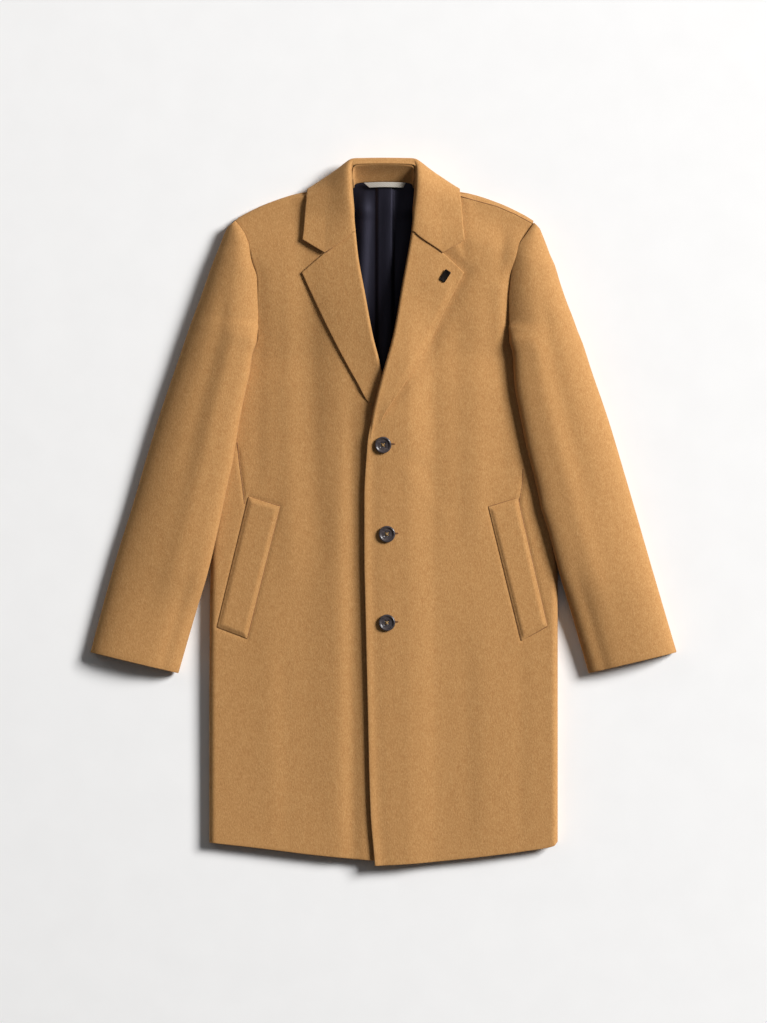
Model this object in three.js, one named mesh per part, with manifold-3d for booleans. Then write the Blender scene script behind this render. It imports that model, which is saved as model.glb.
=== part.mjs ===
// A single-breasted wool overcoat, laid on its back with its three buttons fastened.
// Millimetres. The collar is toward +Y, the wearer's left is +X and +Z is up from the surface it lies on.
// Every cloth piece is a wall of even thickness on a mid surface, which is worked out from the tables below.
import * as THREE from "three";
import { mergeVertices } from "three/addons/utils/BufferGeometryUtils.js";
import Module from "manifold-3d";

const wasm = await Module();
wasm.setup();

// Thickness of each cloth, and the gaps between pieces that touch.
const COATING = 2.2;
const COLLAR_CLOTH = 3.0;
const LAPEL_CLOTH = 2.6;
const LINING = 1.2;
const SEAM_GAP = 0.4;
const REST = COATING / 2;

// Size and finish of the small parts.
const BUTTON_RADIUS = 12.5;
const BUTTON_HEIGHT = 4.2;
const BUTTON_GAP = 0.7;
const HOLE_RADIUS = 1.2;
const HOLE_SPACING = 2.4;
const BUTTON_PROFILE = [
  { r: 0, z: 0 },
  { r: 9.5, z: 0 },
  { r: 12, z: 1.2 },
  { r: BUTTON_RADIUS, z: 2.4 },
  { r: 12, z: 3.7 },
  { r: 10.8, z: BUTTON_HEIGHT },
  { r: 9.4, z: 3.9 },
  { r: 8.2, z: 2.9 },
  { r: 0, z: 2.5 },
];
const PIN_LENGTH = 18.5;
const PIN_WIDTH = 10;
const PIN_HEIGHT = 2.4;
const PIN_BEVEL = 0.6;
const PIN_TURN = 57;
const PIN_GAP = 1.4;

// The body's sides, armholes and heights. y runs from hem to shoulder end, right and left are the two
// outlines' distances from the centre, z is the cloth's height just inside the edge and roll is the
// radius of the edge's turn. Past the underarm the edge is the armhole seam.
const UNDERARM_Y = 236;
const SIDES = [
  { y: -530, right: 260, left: 260, z: 17.6, roll: 8 },
  { y: -300, right: 260, left: 260, z: 18.6, roll: 8.5 },
  { y: -74, right: 258, left: 260, z: 20.4, roll: 9.4 },
  { y: 11, right: 250, left: 250, z: 21.4, roll: 9.9 },
  { y: 100, right: 237, left: 229, z: 21.4, roll: 9.9 },
  { y: 180, right: 222, left: 213, z: 21.4, roll: 9.9 },
  { y: 228, right: 208, left: 204, z: 19, roll: 8 },
  { y: 246, right: 195, left: 194, z: 21, roll: 4 },
  { y: 262, right: 189.4, left: 189.4, z: 23, roll: 3 },
  { y: 317, right: 189.4, left: 189.4, z: 28, roll: 3 },
  { y: 349, right: 189.8, left: 192, z: 29, roll: 3 },
  { y: 371, right: 196, left: 196.4, z: 29, roll: 3 },
  { y: 397, right: 202.6, left: 203.4, z: 28, roll: 3 },
  { y: 416, right: 209.6, left: 216, z: 26, roll: 3 },
  { y: 436, right: 224, left: 230, z: 22, roll: 3 },
];

// Height of the front along the centre line, the cloth's rise from its sides.
const CENTRE = [
  { y: -530, z: 18 },
  { y: -300, z: 23 },
  { y: -100, z: 29 },
  { y: 100, z: 35 },
  { y: 200, z: 38 },
  { y: 300, z: 39 },
  { y: 400, z: 36 },
  { y: 530, z: 30 },
];

// The large soft folds of the fronts. Each runs from (x0, y0) to (x1, y1), its half width is wide,
// and deep is its height, which is negative in a hollow.
const FOLDS = [
  { x0: -124, y0: 410, x1: -104, y1: -50, wide: 24, deep: -3.2 },
  { x0: -170, y0: 360, x1: -172, y1: 60, wide: 26, deep: 2.0 },
  { x0: -62, y0: 300, x1: -70, y1: -130, wide: 24, deep: 1.6 },
  { x0: -112, y0: -60, x1: -122, y1: -420, wide: 25, deep: -2.0 },
  { x0: -170, y0: -160, x1: -166, y1: -430, wide: 24, deep: 1.6 },
  { x0: 64, y0: 230, x1: 76, y1: 10, wide: 24, deep: -2.6 },
  { x0: 124, y0: 310, x1: 118, y1: -20, wide: 26, deep: 2.6 },
  { x0: 96, y0: -190, x1: 100, y1: -490, wide: 24, deep: -1.6 },
  { x0: 152, y0: -170, x1: 152, y1: -480, wide: 24, deep: 1.6 },
  { x0: 172, y0: 420, x1: 178, y1: 350, wide: 20, deep: -2.0 },
];

// Outlines of the fronts as [x, y] points. Those named right are on the wearer's right, at negative x.
const HEM_RIGHT = [[-260, -495], [-185, -503.5], [-104, -513.5], [-48, -519], [-17, -521.5], [28, -522.5]];
const HEM_LEFT = [[260, -494], [255, -500], [217, -507], [157, -515], [97, -521.5], [36, -527], [-12, -529.5]];
const SHOULDER_RIGHT = [[-224, 434], [-197, 448.8], [-171, 460.8], [-113, 474], [-58, 492]];
const SHOULDER_LEFT = [[228, 429], [196, 446], [170, 457], [112, 473], [58, 489]];
const UNDER_EDGE = [[28, -522.5], [29, -300], [29, 0], [27, 80], [20, 128]];
const OVER_EDGE = [[-12, -529.5], [-19, -443], [-23, -283], [-26, -156], [-28, -56], [-28, 18], [-24, 92]];
const ROLL_RIGHT = [[10, 160], [-1, 196], [-6, 220], [-17, 263], [-29, 327], [-39, 382], [-43, 422], [-48, 450], [-54, 492]];
const ROLL_LEFT = [[-19, 113], [-13, 150], [-2, 200], [16, 266], [29, 340], [40, 400], [47, 450], [54, 489]];

// Ease of the folds from a side, and the widest half of the body.
const FOLD_EASE = 30;
const HALF_BODY = 260;

// Rows of the side table that a front's outer edge passes through, and the width of its turned part.
const EDGE_ROWS = [-400, -300, -200, -74, 11, 60, 100, 140, 180, 205, 222, 234, 246, 262, 290, 317, 349, 360, 371, 384, 397, 416];
const TURNED = { wide: 11, of: 255 };

// Rise of the upper front over the lower one, which ends between the two x, and most where the lapel's
// foot lies between them.
const LAP_ROWS = [
  { y: -530, z: 3.2 },
  { y: 50, z: 3.2 },
  { y: 144, z: 9 },
  { y: 220, z: 9 },
  { y: 330, z: 0 },
];
const LAP_FROM = 34;
const LAP_EASE = 46;

// The back's hem and neck line by the distance from its centre.
const BACK_HEM = [
  { x: 0, drop: 520 },
  { x: 60, drop: 517.5 },
  { x: 160, drop: 506.5 },
  { x: HALF_BODY, drop: 494 },
];
const BACK_NECK = [
  { x: 0, y: 493 },
  { x: 30, y: 492 },
  { x: 44, y: 489 },
  { x: 54, y: 492 },
];
const BACK_TOP_Y = 434;

// The collar's fall under the back: the y of its edge, that edge's rise at its ends, its half width and
// the lift that it gives the back. The neck has a lift of its own.
const FALL = { y: 461, rise: 22, half: 113, lift: 4.4, ease: 26 };
const NECK = { y: 470, half: 40, lift: 1.2, ease: 30 };

// Shoulder silhouette, which the back carries to the seam, its slope and the seam's rise by the neck.
const SHOULDER_SLOPE = 0.95;
const SEAM_RISE = { x: 112, z: 3.4, ease: 30 };
const SHOULDER_LINE = [[-54, 496], [-113, 478], [-128, 475.5], [-173, 461], [-211, 443], [-224, 435]];
const SHOULDER_ROLL = 7;
const SHOULDER_EASE = 70;

// Lapels: the outer edge from its lowest point to its tip, and the top edge from tip to roll line.
const LAPEL_EDGE_RIGHT = [[4, 148], [-14, 155], [-42, 199], [-78, 266], [-104, 320], [-121, 357]];
const LAPEL_EDGE_LEFT = [[-17, 109], [-10, 115], [-1, 142], [16, 169], [34, 197], [65, 248], [99, 318], [119, 357]];
const LAPEL_TOP_RIGHT = [[-121, 357], [-88, 385], [-43, 419.4]];
const LAPEL_TOP_LEFT = [[119, 357], [90, 384], [43, 418.4]];
const LAPEL_ROLL = 2.9;
const LAPEL_LIFT = 3.3;
const ROLL_GAP = 1.4;

// Half of the collar, from the gorge seam to the centre of the back neck. Each row is a section with
// the points seam (to the stand), crown (the roll's highest line), fall and edge. dip draws the
// first rows down to the notch.
const COLLAR = [
  { seam: [41, 425, 33], crown: [45, 423.6, 42], fall: [88, 414, 39], edge: [120, 407, 35.5], dip: 26 },
  { seam: [43, 437, 32], crown: [47.5, 435, 42], fall: [87, 432, 37], edge: [118, 424, 33], dip: 16 },
  { seam: [45, 452, 31], crown: [50, 450, 42], fall: [86, 449, 34], edge: [116.5, 443, 29], dip: 7 },
  { seam: [47, 476, 31], crown: [53, 474, 42], fall: [84, 473, 32], edge: [114.5, 466, 25], dip: 0 },
  { seam: [48, 496, 31], crown: [54.5, 498.5, 40], fall: [85, 487.5, 27], edge: [113, 479.5, 18.5], dip: 0 },
  { seam: [48.5, 508, 31], crown: [55, 514.5, 34], fall: [85.5, 499.5, 18], edge: [112, 483, 10], dip: 0 },
  { seam: [47.5, 515, 31], crown: [53, 522.5, 28], fall: [82, 500.5, 7], edge: [103, 476.5, 2.6], dip: 0 },
  { seam: [45, 519, 31], crown: [46.5, 526.6, 24], fall: [62, 508, 2.6], edge: [78, 468, 1.6], dip: 0 },
  { seam: [30, 520.5, 31], crown: [30, 527.3, 23], fall: [36, 510, 1.7], edge: [44, 463, 1.6], dip: 0 },
  { seam: [0, 521, 31], crown: [0, 527.6, 23], fall: [0, 510, 1.7], edge: [0, 461, 1.6], dip: 0 },
];
const NOTCH_FROM = 1 / 3;
const NOTCH_AT = 2 / 3;

// The collar's stand inside the back neck, half of it: its upper and lower edge.
const STAND = [
  { topX: 46, topY: 497, topZ: 28, lowX: 45, lowY: 486, lowZ: 12 },
  { topX: 46, topY: 508, topZ: 29, lowX: 44, lowY: 490, lowZ: 11 },
  { topX: 43, topY: 516, topZ: 29.6, lowX: 38, lowY: 493, lowZ: 10.5 },
  { topX: 28, topY: 518.6, topZ: 30, lowX: 25, lowY: 494.4, lowZ: 10 },
  { topX: 0, topY: 519.4, topZ: 30, lowX: 0, lowY: 495, lowZ: 10 },
];

// Sleeves, from the shoulder to the cuff: outer and inner end of each section, the heights of the
// outer fold, the inner end above and below, and the sleeve's crown above its ends. fold is 0 where
// the inner end is the armhole seam and 1 where it is a fold. over is 1 where it lies on the body.
const SLEEVE_RIGHT = [
  { ox: -233, oy: 425, ix: -226, iy: 434, outer: 12, above: 18, below: 8, crown: 4, fold: 0, over: 0 },
  { ox: -238.5, oy: 413, ix: -212.2, iy: 418, outer: 11, above: 22.5, below: 4.5, crown: 8, fold: 0, over: 0 },
  { ox: -243.5, oy: 400, ix: -204.2, iy: 398, outer: 10.5, above: 25, below: 3, crown: 11, fold: 0, over: 0 },
  { ox: -250.5, oy: 383, ix: -199, iy: 372, outer: 10, above: 26, below: 2.4, crown: 15, fold: 0, over: 0 },
  { ox: -257.5, oy: 365, ix: -195, iy: 350, outer: 10, above: 26, below: 2.2, crown: 17, fold: 0, over: 0 },
  { ox: -269, oy: 332, ix: -191, iy: 317, outer: 10, above: 26, below: 2.2, crown: 19, fold: 0, over: 0 },
  { ox: -280, oy: 302, ix: -191, iy: 287, outer: 10, above: 26, below: 4, crown: 20, fold: 0.1, over: 0.1 },
  { ox: -286, oy: 286, ix: -193.6, iy: 270, outer: 10, above: 28.4, below: 27, crown: 20, fold: 0.6, over: 0.9 },
  { ox: -292, oy: 269, ix: -195.4, iy: 253, outer: 10, above: 29.6, below: 28.8, crown: 20, fold: 1, over: 1 },
  { ox: -306, oy: 228, ix: -201, iy: 208, outer: 10, above: 29.6, below: 28.8, crown: 20, fold: 1, over: 1 },
  { ox: -331, oy: 155, ix: -213, iy: 127, outer: 10, above: 29.6, below: 28.8, crown: 20, fold: 1, over: 1 },
  { ox: -354.5, oy: 79, ix: -232, iy: 50, outer: 10, above: 29.6, below: 28.8, crown: 19, fold: 1, over: 1 },
  { ox: -376, oy: 5, ix: -250, iy: -34, outer: 10, above: 29.6, below: 28.8, crown: 18, fold: 1, over: 1 },
  { ox: -396, oy: -58, ix: -264, iy: -92, outer: 10, above: 26.6, below: 25.8, crown: 18, fold: 1, over: 1 },
  { ox: -415, oy: -125, ix: -284, iy: -158, outer: 9.6, above: 14.4, below: 13.6, crown: 20, fold: 1, over: 0 },
  { ox: -438, oy: -210, ix: -308, iy: -241, outer: 9.2, above: 9.8, below: 9, crown: 20, fold: 1, over: 0 },
];

// The left sleeve has the same heights and its own outline.
const SLEEVE_LEFT_OUTLINE = [
  { ox: 233.5, oy: 423, ix: 230.4, iy: 431 },
  { ox: 240.5, oy: 406, ix: 216.6, iy: 413 },
  { ox: 248.5, oy: 385, ix: 205, iy: 396 },
  { ox: 256, oy: 368, ix: 198.2, iy: 373 },
  { ox: 262, oy: 348, ix: 194, iy: 350 },
  { ox: 272, oy: 318, ix: 191, iy: 316 },
  { ox: 284, oy: 287, ix: 191, iy: 286 },
  { ox: 290, oy: 270, ix: 193.4, iy: 269 },
  { ox: 297, oy: 253, ix: 194, iy: 252 },
  { ox: 311, oy: 210, ix: 196, iy: 205 },
  { ox: 336, oy: 137, ix: 204, iy: 128 },
  { ox: 360, oy: 57, ix: 222, iy: 50 },
  { ox: 381, oy: -15, ix: 249, iy: -34 },
  { ox: 396, oy: -67, ix: 264, iy: -92 },
  { ox: 415, oy: -132, ix: 284, iy: -158 },
  { ox: 438, oy: -210, ix: 308, iy: -241 },
];
const OUTER_TURN = 9;
const INNER_TURN = 5;
const CROWN_AT = 0.45;
const CROWN_POWER = 2.4;
// Widths by the sleeve's inner end: the level part where it lies on the body, then the slope to the
// floor, free of the body and on it.
const SHELF = { level: 20, free: 24, over: 30 };
const ARMHOLE_GAP = 2.0;

// Welts: corners in the order top outer, top inner, bottom inner, bottom outer.
const WELT_RIGHT = [[-201, 21], [-156, 7], [-205, -189], [-248, -172]];
const WELT_LEFT = [[200, 19], [158, 6], [207, -192], [244, -171]];
const WELT_CLOTH = 2.4;

// The back lining, as far as it shows in the neck, and its centre pleat.
const LINING_ROWS = [
  { y: 150, half: 40, z: 5 },
  { y: 250, half: 58, z: 9 },
  { y: 350, half: 72, z: 11 },
  { y: 430, half: 66, z: 10.5 },
  { y: 472, half: 50, z: 11.5 },
  { y: 491, half: 34, z: 12.5 },
];
const PLEAT_HALF = 9;
const PLEAT_HEIGHT = 2.4;
const PLEAT_EASE = 5;
const PLEAT_START = 40;
const LOOP = { x0: -29, x1: 32.7, y0: 484.8, y1: 492.5, lift: 3, cloth: 1 };

// Buttons and pin by the centre of each.
const BUTTONS = [{ x: -0.7, y: 99.6 }, { x: 5.1, y: -33.7 }, { x: 5.1, y: -166.1 }];
const PIN = { x: 92, y: 352 };

const lerp = (a, b, t) => a + (b - a) * t;
const clamp01 = (t) => Math.min(1, Math.max(0, t));
const smooth = (t) => clamp01(t) ** 2 * (3 - 2 * clamp01(t));

// Slopes of a monotone cubic through (xs, ys), so that a curve never overshoots its table.
function slopesOf(xs, ys) {
  const steps = xs.slice(1).map((x, i) => (ys[i + 1] - ys[i]) / (x - xs[i]));
  return xs.map((_, i) => {
    if (i === 0) return steps[0];
    if (i === xs.length - 1) return steps[i - 1];
    const [a, b] = [steps[i - 1], steps[i]];
    return a * b <= 0 ? 0 : (2 * a * b) / (a + b);
  });
}

// A function through a table's points, held level past both ends.
function through(xs, ys) {
  const slopes = slopesOf(xs, ys);
  return (x) => {
    if (x <= xs[0]) return ys[0];
    if (x >= xs.at(-1)) return ys.at(-1);
    const i = xs.findIndex((value) => value > x) - 1;
    const h = xs[i + 1] - xs[i];
    const t = (x - xs[i]) / h;
    const near = (1 + 2 * t) * (1 - t) ** 2 * ys[i] + t * (1 - t) ** 2 * h * slopes[i];
    return near + t * t * (3 - 2 * t) * ys[i + 1] + t * t * (t - 1) * h * slopes[i + 1];
  };
}

const column = (rows, by, name) => through(rows.map((r) => r[by]), rows.map((r) => r[name]));

// A curve through points, by its share of the length.
function curveOf(points) {
  const along = [0];
  points.slice(1).forEach((p, i) => {
    along.push(along[i] + Math.hypot(...p.map((value, k) => value - points[i][k])));
  });
  const shares = along.map((length) => length / along.at(-1));
  const parts = points[0].map((_, k) => through(shares, points.map((p) => p[k])));
  return (t) => parts.map((part) => part(t));
}

const sideRight = column(SIDES, "y", "right");
const sideLeft = column(SIDES, "y", "left");
const sideHeight = column(SIDES, "y", "z");
const sideRoll = column(SIDES, "y", "roll");
const centreHeight = column(CENTRE, "y", "z");
const shoulderY = through(
  SHOULDER_LINE.map((p) => -p[0]),
  SHOULDER_LINE.map((p) => p[1]),
);

const halfWidth = (x, y) => (x < 0 ? sideRight(y) : sideLeft(y));
// Fall of a quarter turn of radius r at the distance d from its edge.
const turnFall = (d, r) => (d >= r ? 0 : r - Math.sqrt(Math.max(0, r * r - (r - d) ** 2)));

// Height that the folds add at a point.
function foldsAt(x, y) {
  return FOLDS.reduce((sum, f) => {
    const length = Math.hypot(f.x1 - f.x0, f.y1 - f.y0);
    const [ux, uy] = [(f.x1 - f.x0) / length, (f.y1 - f.y0) / length];
    const along = ((x - f.x0) * ux + (y - f.y0) * uy) / length;
    const off = ((x - f.x0) * uy - (y - f.y0) * ux) / f.wide;
    const taper = smooth((along + 0.25) / 0.35) * smooth((1.25 - along) / 0.35);
    return sum + f.deep * taper * Math.exp(-off * off);
  }, 0);
}

// Mid surface of the closed fronts over the floor.
function frontHeight(x, y) {
  const half = halfWidth(x, y);
  const inside = half - Math.abs(x);
  const share = smooth(inside / half);
  let z = lerp(sideHeight(y), centreHeight(y), share) + foldsAt(x, y) * smooth(inside / FOLD_EASE);
  const under = Math.max(0, (shoulderY(Math.abs(x)) - y) * SHOULDER_SLOPE);
  const rise = SEAM_RISE.z * (1 - smooth((Math.abs(x) - SEAM_RISE.x) / SEAM_RISE.ease));
  const seam = REST + 2 * SHOULDER_ROLL + rise;
  z = seam + (z - seam) * smooth((under - SHOULDER_ROLL + 6) / SHOULDER_EASE);
  z -= turnFall(under, SHOULDER_ROLL);
  return z - turnFall(Math.max(0, inside), sideRoll(y));
}

// The upper front rises over the lower one where they lap, more where the lapel's end lies between.
const lapLift = column(LAP_ROWS, "y", "z");
function overHeight(x, y) {
  return frontHeight(x, y) + lapLift(y) * (1 - smooth((x - LAP_FROM) / LAP_EASE));
}

// Mid surface of the back: flat on the floor, turned up at its sides and lifted by the collar's fall.
function backHeight(x, y) {
  const half = halfWidth(x, y);
  const inside = Math.max(0, half - Math.abs(x));
  const radius = sideRoll(y) * (1 - smooth((y - UNDERARM_Y) / 16));
  const top = shoulderY(Math.abs(x));
  const edge = FALL.y + FALL.rise * (Math.abs(x) / FALL.half) ** 2;
  const overCollar = smooth((y - edge + 28) / 20) * (1 - smooth((Math.abs(x) - FALL.half - 1) / FALL.ease));
  const neck = smooth((y - NECK.y) / 24) * (1 - smooth((Math.abs(x) - NECK.half) / NECK.ease));
  const shoulder = turnFall(Math.max(0, top - y), SHOULDER_ROLL);
  return REST + turnFall(inside, radius) + FALL.lift * overCollar + NECK.lift * neck + shoulder * (1 - neck);
}

// Unit vector along the cross product of two edges.
function crossOf(a, b) {
  const v = new THREE.Vector3().crossVectors(a, b);
  return v.lengthSq() > 0 ? v.normalize() : new THREE.Vector3(0, 0, 1);
}

// Surface directions on a grid of points, from the neighbours of each point.
function gridNormals(grid) {
  return grid.map((row, i) => row.map((_, j) => {
    const a = grid[Math.min(i + 1, grid.length - 1)][j];
    const b = grid[Math.max(i - 1, 0)][j];
    const c = row[Math.min(j + 1, row.length - 1)];
    const d = row[Math.max(j - 1, 0)];
    return crossOf(new THREE.Vector3().subVectors(a, b), new THREE.Vector3().subVectors(c, d));
  }));
}

// A closed wall of even thickness around a grid of mid-surface points.
function wall(grid, thickness, turned = () => null) {
  const normals = gridNormals(grid);
  const [rows, cols] = [grid.length, grid[0].length];
  const positions = [];
  for (const side of [0.5, -0.5]) {
    grid.forEach((row, i) => row.forEach((point, j) => {
      const normal = turned(i, j, normals[i][j]) ?? normals[i][j];
      const moved = point.clone().addScaledVector(normal, side * thickness);
      positions.push(moved.x, moved.y, Math.max(0, moved.z));
    }));
  }
  const at = (i, j, side) => side * rows * cols + i * cols + j;
  const index = [];
  const quad = (a, b, c, d) => index.push(a, b, c, a, c, d);
  for (let i = 0; i < rows - 1; i += 1) {
    for (let j = 0; j < cols - 1; j += 1) {
      quad(at(i, j, 0), at(i + 1, j, 0), at(i + 1, j + 1, 0), at(i, j + 1, 0));
      quad(at(i, j, 1), at(i, j + 1, 1), at(i + 1, j + 1, 1), at(i + 1, j, 1));
    }
    quad(at(i, 0, 0), at(i, 0, 1), at(i + 1, 0, 1), at(i + 1, 0, 0));
    quad(at(i + 1, cols - 1, 0), at(i + 1, cols - 1, 1), at(i, cols - 1, 1), at(i, cols - 1, 0));
  }
  for (let j = 0; j < cols - 1; j += 1) {
    quad(at(0, j + 1, 0), at(0, j + 1, 1), at(0, j, 1), at(0, j, 0));
    quad(at(rows - 1, j, 0), at(rows - 1, j, 1), at(rows - 1, j + 1, 1), at(rows - 1, j + 1, 0));
  }
  return facingOut(positions, index);
}

// Geometry from positions and faces, turned so that its faces point out.
function facingOut(positions, index) {
  let volume = 0;
  const corner = (k) => new THREE.Vector3().fromArray(positions, 3 * index[k]);
  for (let k = 0; k < index.length; k += 3) {
    volume += corner(k).dot(corner(k + 1).cross(corner(k + 2)));
  }
  const faces = volume < 0 ? index.slice().reverse() : index;
  const geometry = new THREE.BufferGeometry();
  geometry.setAttribute("position", new THREE.Float32BufferAttribute(positions, 3));
  return geometry.setIndex(faces);
}

const shares = (count) => Array.from({ length: count + 1 }, (_, k) => k / count);

// A patch between four edges, which meet at their ends: low and high run along u, first and last along v.
function coons(low, high, first, last) {
  return (u, v) => [0, 1].map((k) => {
    const ruled = lerp(first(v)[k], last(v)[k], u) + lerp(low(u)[k], high(u)[k], v);
    const corners = lerp(lerp(low(0)[k], low(1)[k], u), lerp(high(0)[k], high(1)[k], u), v);
    return ruled - corners;
  });
}

// Shares across a front: close together in the turn at its outer edge, then even.
function acrossFront() {
  const turned = TURNED.wide / TURNED.of;
  const rolled = [0, 0.08, 0.3, 0.62, 1].map((k) => k * turned);
  return [...rolled, ...shares(9).slice(1).map((k) => lerp(turned, 1, k))];
}

// Outer edge of a front from hem to shoulder, as points of the side table.
function outerEdge(sign, bottom, top) {
  const half = sign < 0 ? sideRight : sideLeft;
  return curveOf([bottom, ...EDGE_ROWS.map((y) => [sign * half(y), y]), top]);
}

// Shares along a front: closer together from the lapel's foot to the shoulder.
function alongFront() {
  const foot = 0.6;
  return [...shares(9).slice(0, -1).map((v) => v * foot), ...shares(16).map((v) => lerp(foot, 1, v))];
}

// A front panel from its hem, shoulder and inner edge, on the height given.
function frontPanel(sign, hem, shoulder, inner, height) {
  const [low, high] = [curveOf(hem), curveOf(shoulder)];
  const first = outerEdge(sign, hem[0], shoulder[0]);
  const last = curveOf([...inner.slice(0, -1), shoulder.at(-1)]);
  const place = coons(low, high, first, last);
  const across = acrossFront();
  const grid = alongFront().map((v) => across.map((u) => {
    const [x, y] = place(u, v);
    return new THREE.Vector3(x, y, height(x, y));
  }));
  return wall(grid, COATING, (i, j, normal) => (j === 0 && grid[i][0].y < UNDERARM_Y
    ? new THREE.Vector3(Math.sign(normal.x) || 1, 0, 0)
    : null));
}

// A roll line moved outward, where the panel stops and the lapel's roll takes over.
function setBack(points, sign) {
  return points.map(([x, y]) => [x + sign * (LAPEL_ROLL + ROLL_GAP), y]);
}

// A lapel: it starts at the front's edge, turns over the roll line and lies on the front.
function lapel(sign, roll, edge, top, height) {
  const rollCurve = curveOf(roll);
  const flatStart = curveOf(roll.map(([x, y]) => [x + sign * LAPEL_ROLL, y]));
  const topEdge = curveOf([...top].reverse().map((p, k) => (k === 0 ? flatStart(1) : p)));
  const bottom = curveOf([flatStart(0), edge[0]]);
  const place = coons(bottom, topEdge, flatStart, curveOf(edge));
  const turn = shares(4).map((t) => -Math.PI / 2 + t * Math.PI);
  const grid = shares(12).map((v) => {
    const [rx, ry] = rollCurve(v);
    const base = height(rx + sign * LAPEL_ROLL, ry);
    const rolled = turn.map((angle) => new THREE.Vector3(
      rx + sign * LAPEL_ROLL * (1 - Math.cos(angle)),
      ry,
      base + LAPEL_ROLL * (1 + Math.sin(angle)),
    ));
    const flat = shares(6).slice(1).map((u) => {
      const [x, y] = place(u, v);
      const lift = lerp(LAPEL_LIFT, 2 * LAPEL_ROLL, (1 - u) ** 2);
      return new THREE.Vector3(x, y, height(x, y) + lift);
    });
    return [...rolled, ...flat];
  });
  return wall(grid, LAPEL_CLOTH);
}

// One section of the collar on the side given, as a curve from the stand's seam to the outer edge.
function collarSection(row, sign) {
  const points = ["seam", "crown", "fall", "edge"].map((name) => {
    const [x, y, z] = row[name];
    return new THREE.Vector3(sign * x, y, z);
  });
  return new THREE.CatmullRomCurve3(points, false, "centripetal");
}

// The whole collar: sections from the right gorge seam round the back neck to the left one.
function collarLeaf() {
  const steps = [0, 0.12, 0.24, NOTCH_FROM, 0.44, 0.55, NOTCH_AT, 0.78, 0.9, 1];
  const section = (row, sign) => {
    const curve = collarSection(row, sign);
    return steps.map((t) => {
      const share = t < NOTCH_AT ? (t - NOTCH_FROM) / (NOTCH_AT - NOTCH_FROM) : (1 - t) / (1 - NOTCH_AT);
      const p = curve.getPoint(t);
      p.y -= row.dip * Math.max(0, share);
      p.z = Math.max(p.z, COLLAR_CLOTH / 2);
      return p;
    });
  };
  const right = COLLAR.map((row) => section(row, -1));
  const left = COLLAR.slice(0, -1).reverse().map((row) => section(row, 1));
  return wall([...right, ...left], COLLAR_CLOTH);
}

// The stand: a strip from the neck seam up to the collar's seam.
function collarStand() {
  const section = (row, sign) => shares(3).map((t) => new THREE.Vector3(
    sign * lerp(row.lowX, row.topX, t),
    lerp(row.lowY, row.topY, t),
    lerp(row.lowZ, row.topZ, t),
  ));
  const right = STAND.map((row) => section(row, -1));
  const left = STAND.slice(0, -1).reverse().map((row) => section(row, 1));
  return wall([...right, ...left], COATING);
}

// Crown of a sleeve's upper half across its section: a round outer fold and, past the middle, either
// an easy slope to the armhole seam or a round inner fold.
function crownShare(w, fold) {
  if (w < CROWN_AT) return Math.sqrt(1 - (1 - w / CROWN_AT) ** CROWN_POWER);
  const t = (w - CROWN_AT) / (1 - CROWN_AT);
  return lerp(1 - t * t, Math.sqrt(1 - t ** CROWN_POWER), fold);
}

// Rows of a sleeve with one value of each column for a share along it.
function sleeveStations(rows, count) {
  const at = shares(rows.length - 1);
  const names = ["ox", "oy", "ix", "iy", "outer", "above", "below", "crown", "fold", "over"];
  const columns = names.map((name) => through(at, rows.map((row) => row[name])));
  return shares(count).map((t) => Object.fromEntries(names.map((name, k) => [name, columns[k](t)])));
}

// Height of a sleeve's upper half at the share w from its outer fold.
function upperHeight(s, w) {
  return lerp(s.outer + 0.3, s.above, w) + s.crown * crownShare(w, s.fold);
}

// Height of a sleeve's lower half: on the floor, and raised where it lies on the body's side.
function lowerHeight(s, w) {
  const chord = Math.hypot(s.ix - s.ox, s.iy - s.oy);
  const [fromOuter, fromInner] = [w * chord, (1 - w) * chord];
  const shelf = lerp(s.below, s.below - INNER_TURN, s.fold);
  const reach = lerp(SHELF.free, SHELF.over, s.over);
  const raised = (shelf - REST) * (1 - smooth((fromInner - SHELF.level * s.over) / reach)) * smooth(w / 0.5);
  const outerTurn = ((s.outer - 0.3 - REST) / OUTER_TURN) * turnFall(fromOuter, OUTER_TURN);
  const innerTurn = s.fold * turnFall(fromInner, INNER_TURN);
  return REST + raised + outerTurn + innerTurn;
}

// A section moved out to the armhole seam where it would cross it.
function clearOfArmhole(s, sign) {
  if (s.fold > 0.5) return s;
  const half = sign < 0 ? sideRight(s.iy) : sideLeft(s.iy);
  return { ...s, ix: sign * Math.max(Math.abs(s.ix), half + ARMHOLE_GAP) };
}

// Half a sleeve as a wall, with its folded edges square to each other at the seams.
function sleeveHalf(rows, sign, height) {
  const across = shares(10).map((k) => (1 - Math.cos(Math.PI * k)) / 2);
  const stations = sleeveStations(rows, 24).map((s) => clearOfArmhole(s, sign));
  const grid = stations.map((s) => across.map((w) => new THREE.Vector3(
    lerp(s.ox, s.ix, w),
    lerp(s.oy, s.iy, w),
    height(s, w),
  )));
  return wall(grid, COATING, (i, j, normal) => {
    const s = stations[i];
    const out = new THREE.Vector3(s.ix - s.ox, s.iy - s.oy, 0).normalize();
    const way = Math.sign(normal.dot(out)) || 1;
    if (j === 0) return out.multiplyScalar(way);
    if (j === across.length - 1) return normal.clone().lerp(out.multiplyScalar(way), s.fold).normalize();
    return null;
  });
}

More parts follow.
